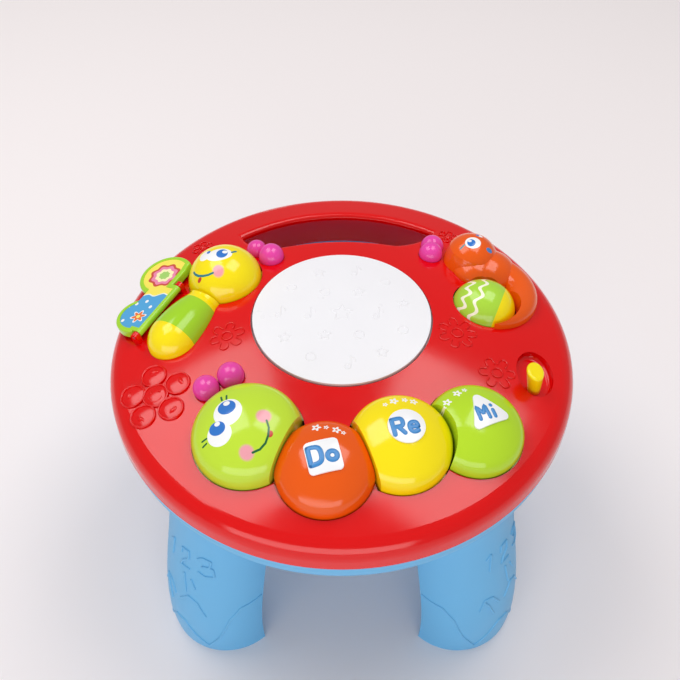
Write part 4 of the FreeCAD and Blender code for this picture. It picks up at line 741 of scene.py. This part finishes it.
for x, y in ((-9.5, 5.5), (-5.0, -1.0), (-9.0, -7.5), (-27.0, 5.0), (-13.5, 10.0)):
    sheet.ink(blot(sheet, x, y, 1.5, 1.2), WHITE_INK)
dress(sheet.close(), "butterfly_wing_sheet")

# Snail: an orange body in one moulding, fixed over the shell. Its green egg
# with white zigzags and a yellow end spins on a steel axle.

SNAIL_HEAD = (96.4, 76.1)
EGG_PLACE = (104.0, 29.0)
EGG_HEADING = -20.0
EGG_SINK = 5.0

snail = glossy("snail_orange", ORANGE)
snail.stand_on(seat(*SNAIL_HEAD))
up_front = ((snail.z - 8.0) / EDGE).clamp()
snail.ink(blot(snail, -3.2, -4.6, 5.8, 5.3) * up_front, WHITE_INK)
snail.ink(blot(snail, -4.5, -5.0, 3.0, 3.3) * up_front, EYE_BLUE)
snail.ink(blot(snail, -5.5, -3.4, 1.3, 1.1) * up_front, WHITE_INK)
snail.ink(blot(snail, 2.6, 4.6, 2.6, 1.9, -25) * up_front, WHITE_INK)
snail.ink(blot(snail, 1.2, 4.8, 1.4, 1.5) * up_front, EYE_BLUE)
snail.ink(stroke(snail, ((-9.4, -6.2), (-11.8, -8.0)), 1.3) * up_front, TEAL)
snail.ink(blot(snail, 9.6, -7.6, 2.7, 1.8, 20) * up_front, (74, 132, 198))
dress(snail.close(), "snail_body")

egg = glossy("egg_green", (176, 224, 66))
egg.stand_on(seat(EGG_PLACE[0], EGG_PLACE[1], EGG_HEADING))
round_turn = egg.y.sum("ARCTAN2", egg.y, egg.z + EGG_SINK)
wavy = (round_turn * 11.0).sine() * 1.9
for middle in (-15.2, -6.4):
    off = egg.x - middle - wavy
    egg.ink(((1.25 - abs(off)) / EDGE + 0.5).clamp(), (252, 250, 226))
dress(egg.close(), "snail_egg")

# Inside and underneath: steel screws, pin, axle and battery contacts, green
# boards, black parts, rubber contacts, the speaker's paper cone, lights, cells.

steel = Finish("steel", (196, 198, 202), 0.32)
steel.shader.inputs["Metallic"].default_value = 1.0
steel.roughness = steel.speckle(0.004, 4.0) * 0.2 + 0.3
steel = steel.close()
dress(steel, "case_screws", "board_screws", "door_screw", "wing_hinge_pin", "snail_egg_axle")
dress(steel, "battery_contacts", "speaker_magnet", "speaker_frame")
board = moulded("board_green", (34, 112, 62), 0.4, 0.00001, 0.001).close()
dress(board, "main_board", "key_board", "light_board", "butterfly_board")
black = moulded("black_plastic", (26, 26, 28), 0.45, 0.00001, 0.001).close()
dress(black, "main_board_parts", "slide_switch", "battery_box")
rubber = moulded("grey_rubber", (92, 94, 98), 0.7, 0.00001, 0.001).close()
for place in ("pad", "head", "do", "re", "mi", "butterfly"):
    dress(rubber, "contact_" + place)
paper = moulded("speaker_paper", (46, 44, 42), 0.85, 0.00003, 0.001).close()
dress(paper, "speaker_cone")
lens = moulded("light_lens", (252, 244, 214), 0.12, 0.000002, 0.002).close()
dress(lens, "lights")
jacket = moulded("cell_jacket", (64, 110, 176), 0.25, 0.000004, 0.001).close()
dress(jacket, "battery_cells")

# Studio: a pale floor, soft lamps over the left and right, a wide one low in
# front, and a weak even light from all round. The camera looks down at the top.

floor_form = bmesh.new()
bmesh.ops.create_grid(floor_form, x_segments=1, y_segments=1, size=4.0)
floor_mesh = bpy.data.meshes.new("floor")
floor_form.to_mesh(floor_mesh)
floor_form.free()
floor = bpy.data.objects.new("floor", floor_mesh)
bpy.context.scene.collection.objects.link(floor)
floor_finish = Finish("floor_pale", (250, 243, 243), 0.9)
floor.data.materials.append(floor_finish.close())


def soft_lamp(name, place, turn, size_x, size_y, power):
    """Flat lamp at a place, turned by Euler angles in degrees."""
    light = bpy.data.lights.new(name, "AREA")
    light.shape = "RECTANGLE"
    light.size = size_x
    light.size_y = size_y
    light.energy = power
    lamp = bpy.data.objects.new(name, light)
    bpy.context.scene.collection.objects.link(lamp)
    lamp.location = place
    lamp.rotation_euler = [math.radians(angle) for angle in turn]


soft_lamp("lamp_left", (-0.70, 0.42, 1.5), (0, 0, 20), 0.85, 1.15, 10.5)
soft_lamp("lamp_right", (0.52, 0.36, 1.5), (0, 0, -25), 0.72, 1.0, 8.0)
soft_lamp("lamp_front", (-0.3, -1.8, 0.6), (80, 0, -8), 2.6, 0.9, 18.0)

world = bpy.data.worlds.new("studio")
bpy.context.scene.world = world
world.use_nodes = True
world.node_tree.nodes["Background"].inputs["Color"].default_value = (1.0, 0.98, 0.98, 1.0)
world.node_tree.nodes["Background"].inputs["Strength"].default_value = 0.34

lens_data = bpy.data.cameras.new("camera")
lens_data.sensor_width = 36.0
lens_data.lens = 52.94
lens_data.shift_x = -0.0025
lens_data.clip_start = 0.01
camera = bpy.data.objects.new("camera", lens_data)
bpy.context.scene.collection.objects.link(camera)
camera.location = (0.0, -0.4669, 0.7447)
camera.rotation_euler = (math.radians(41.32), 0.0, 0.0)
bpy.context.scene.camera = camera
bpy.context.scene.view_settings.view_transform = "Standard"
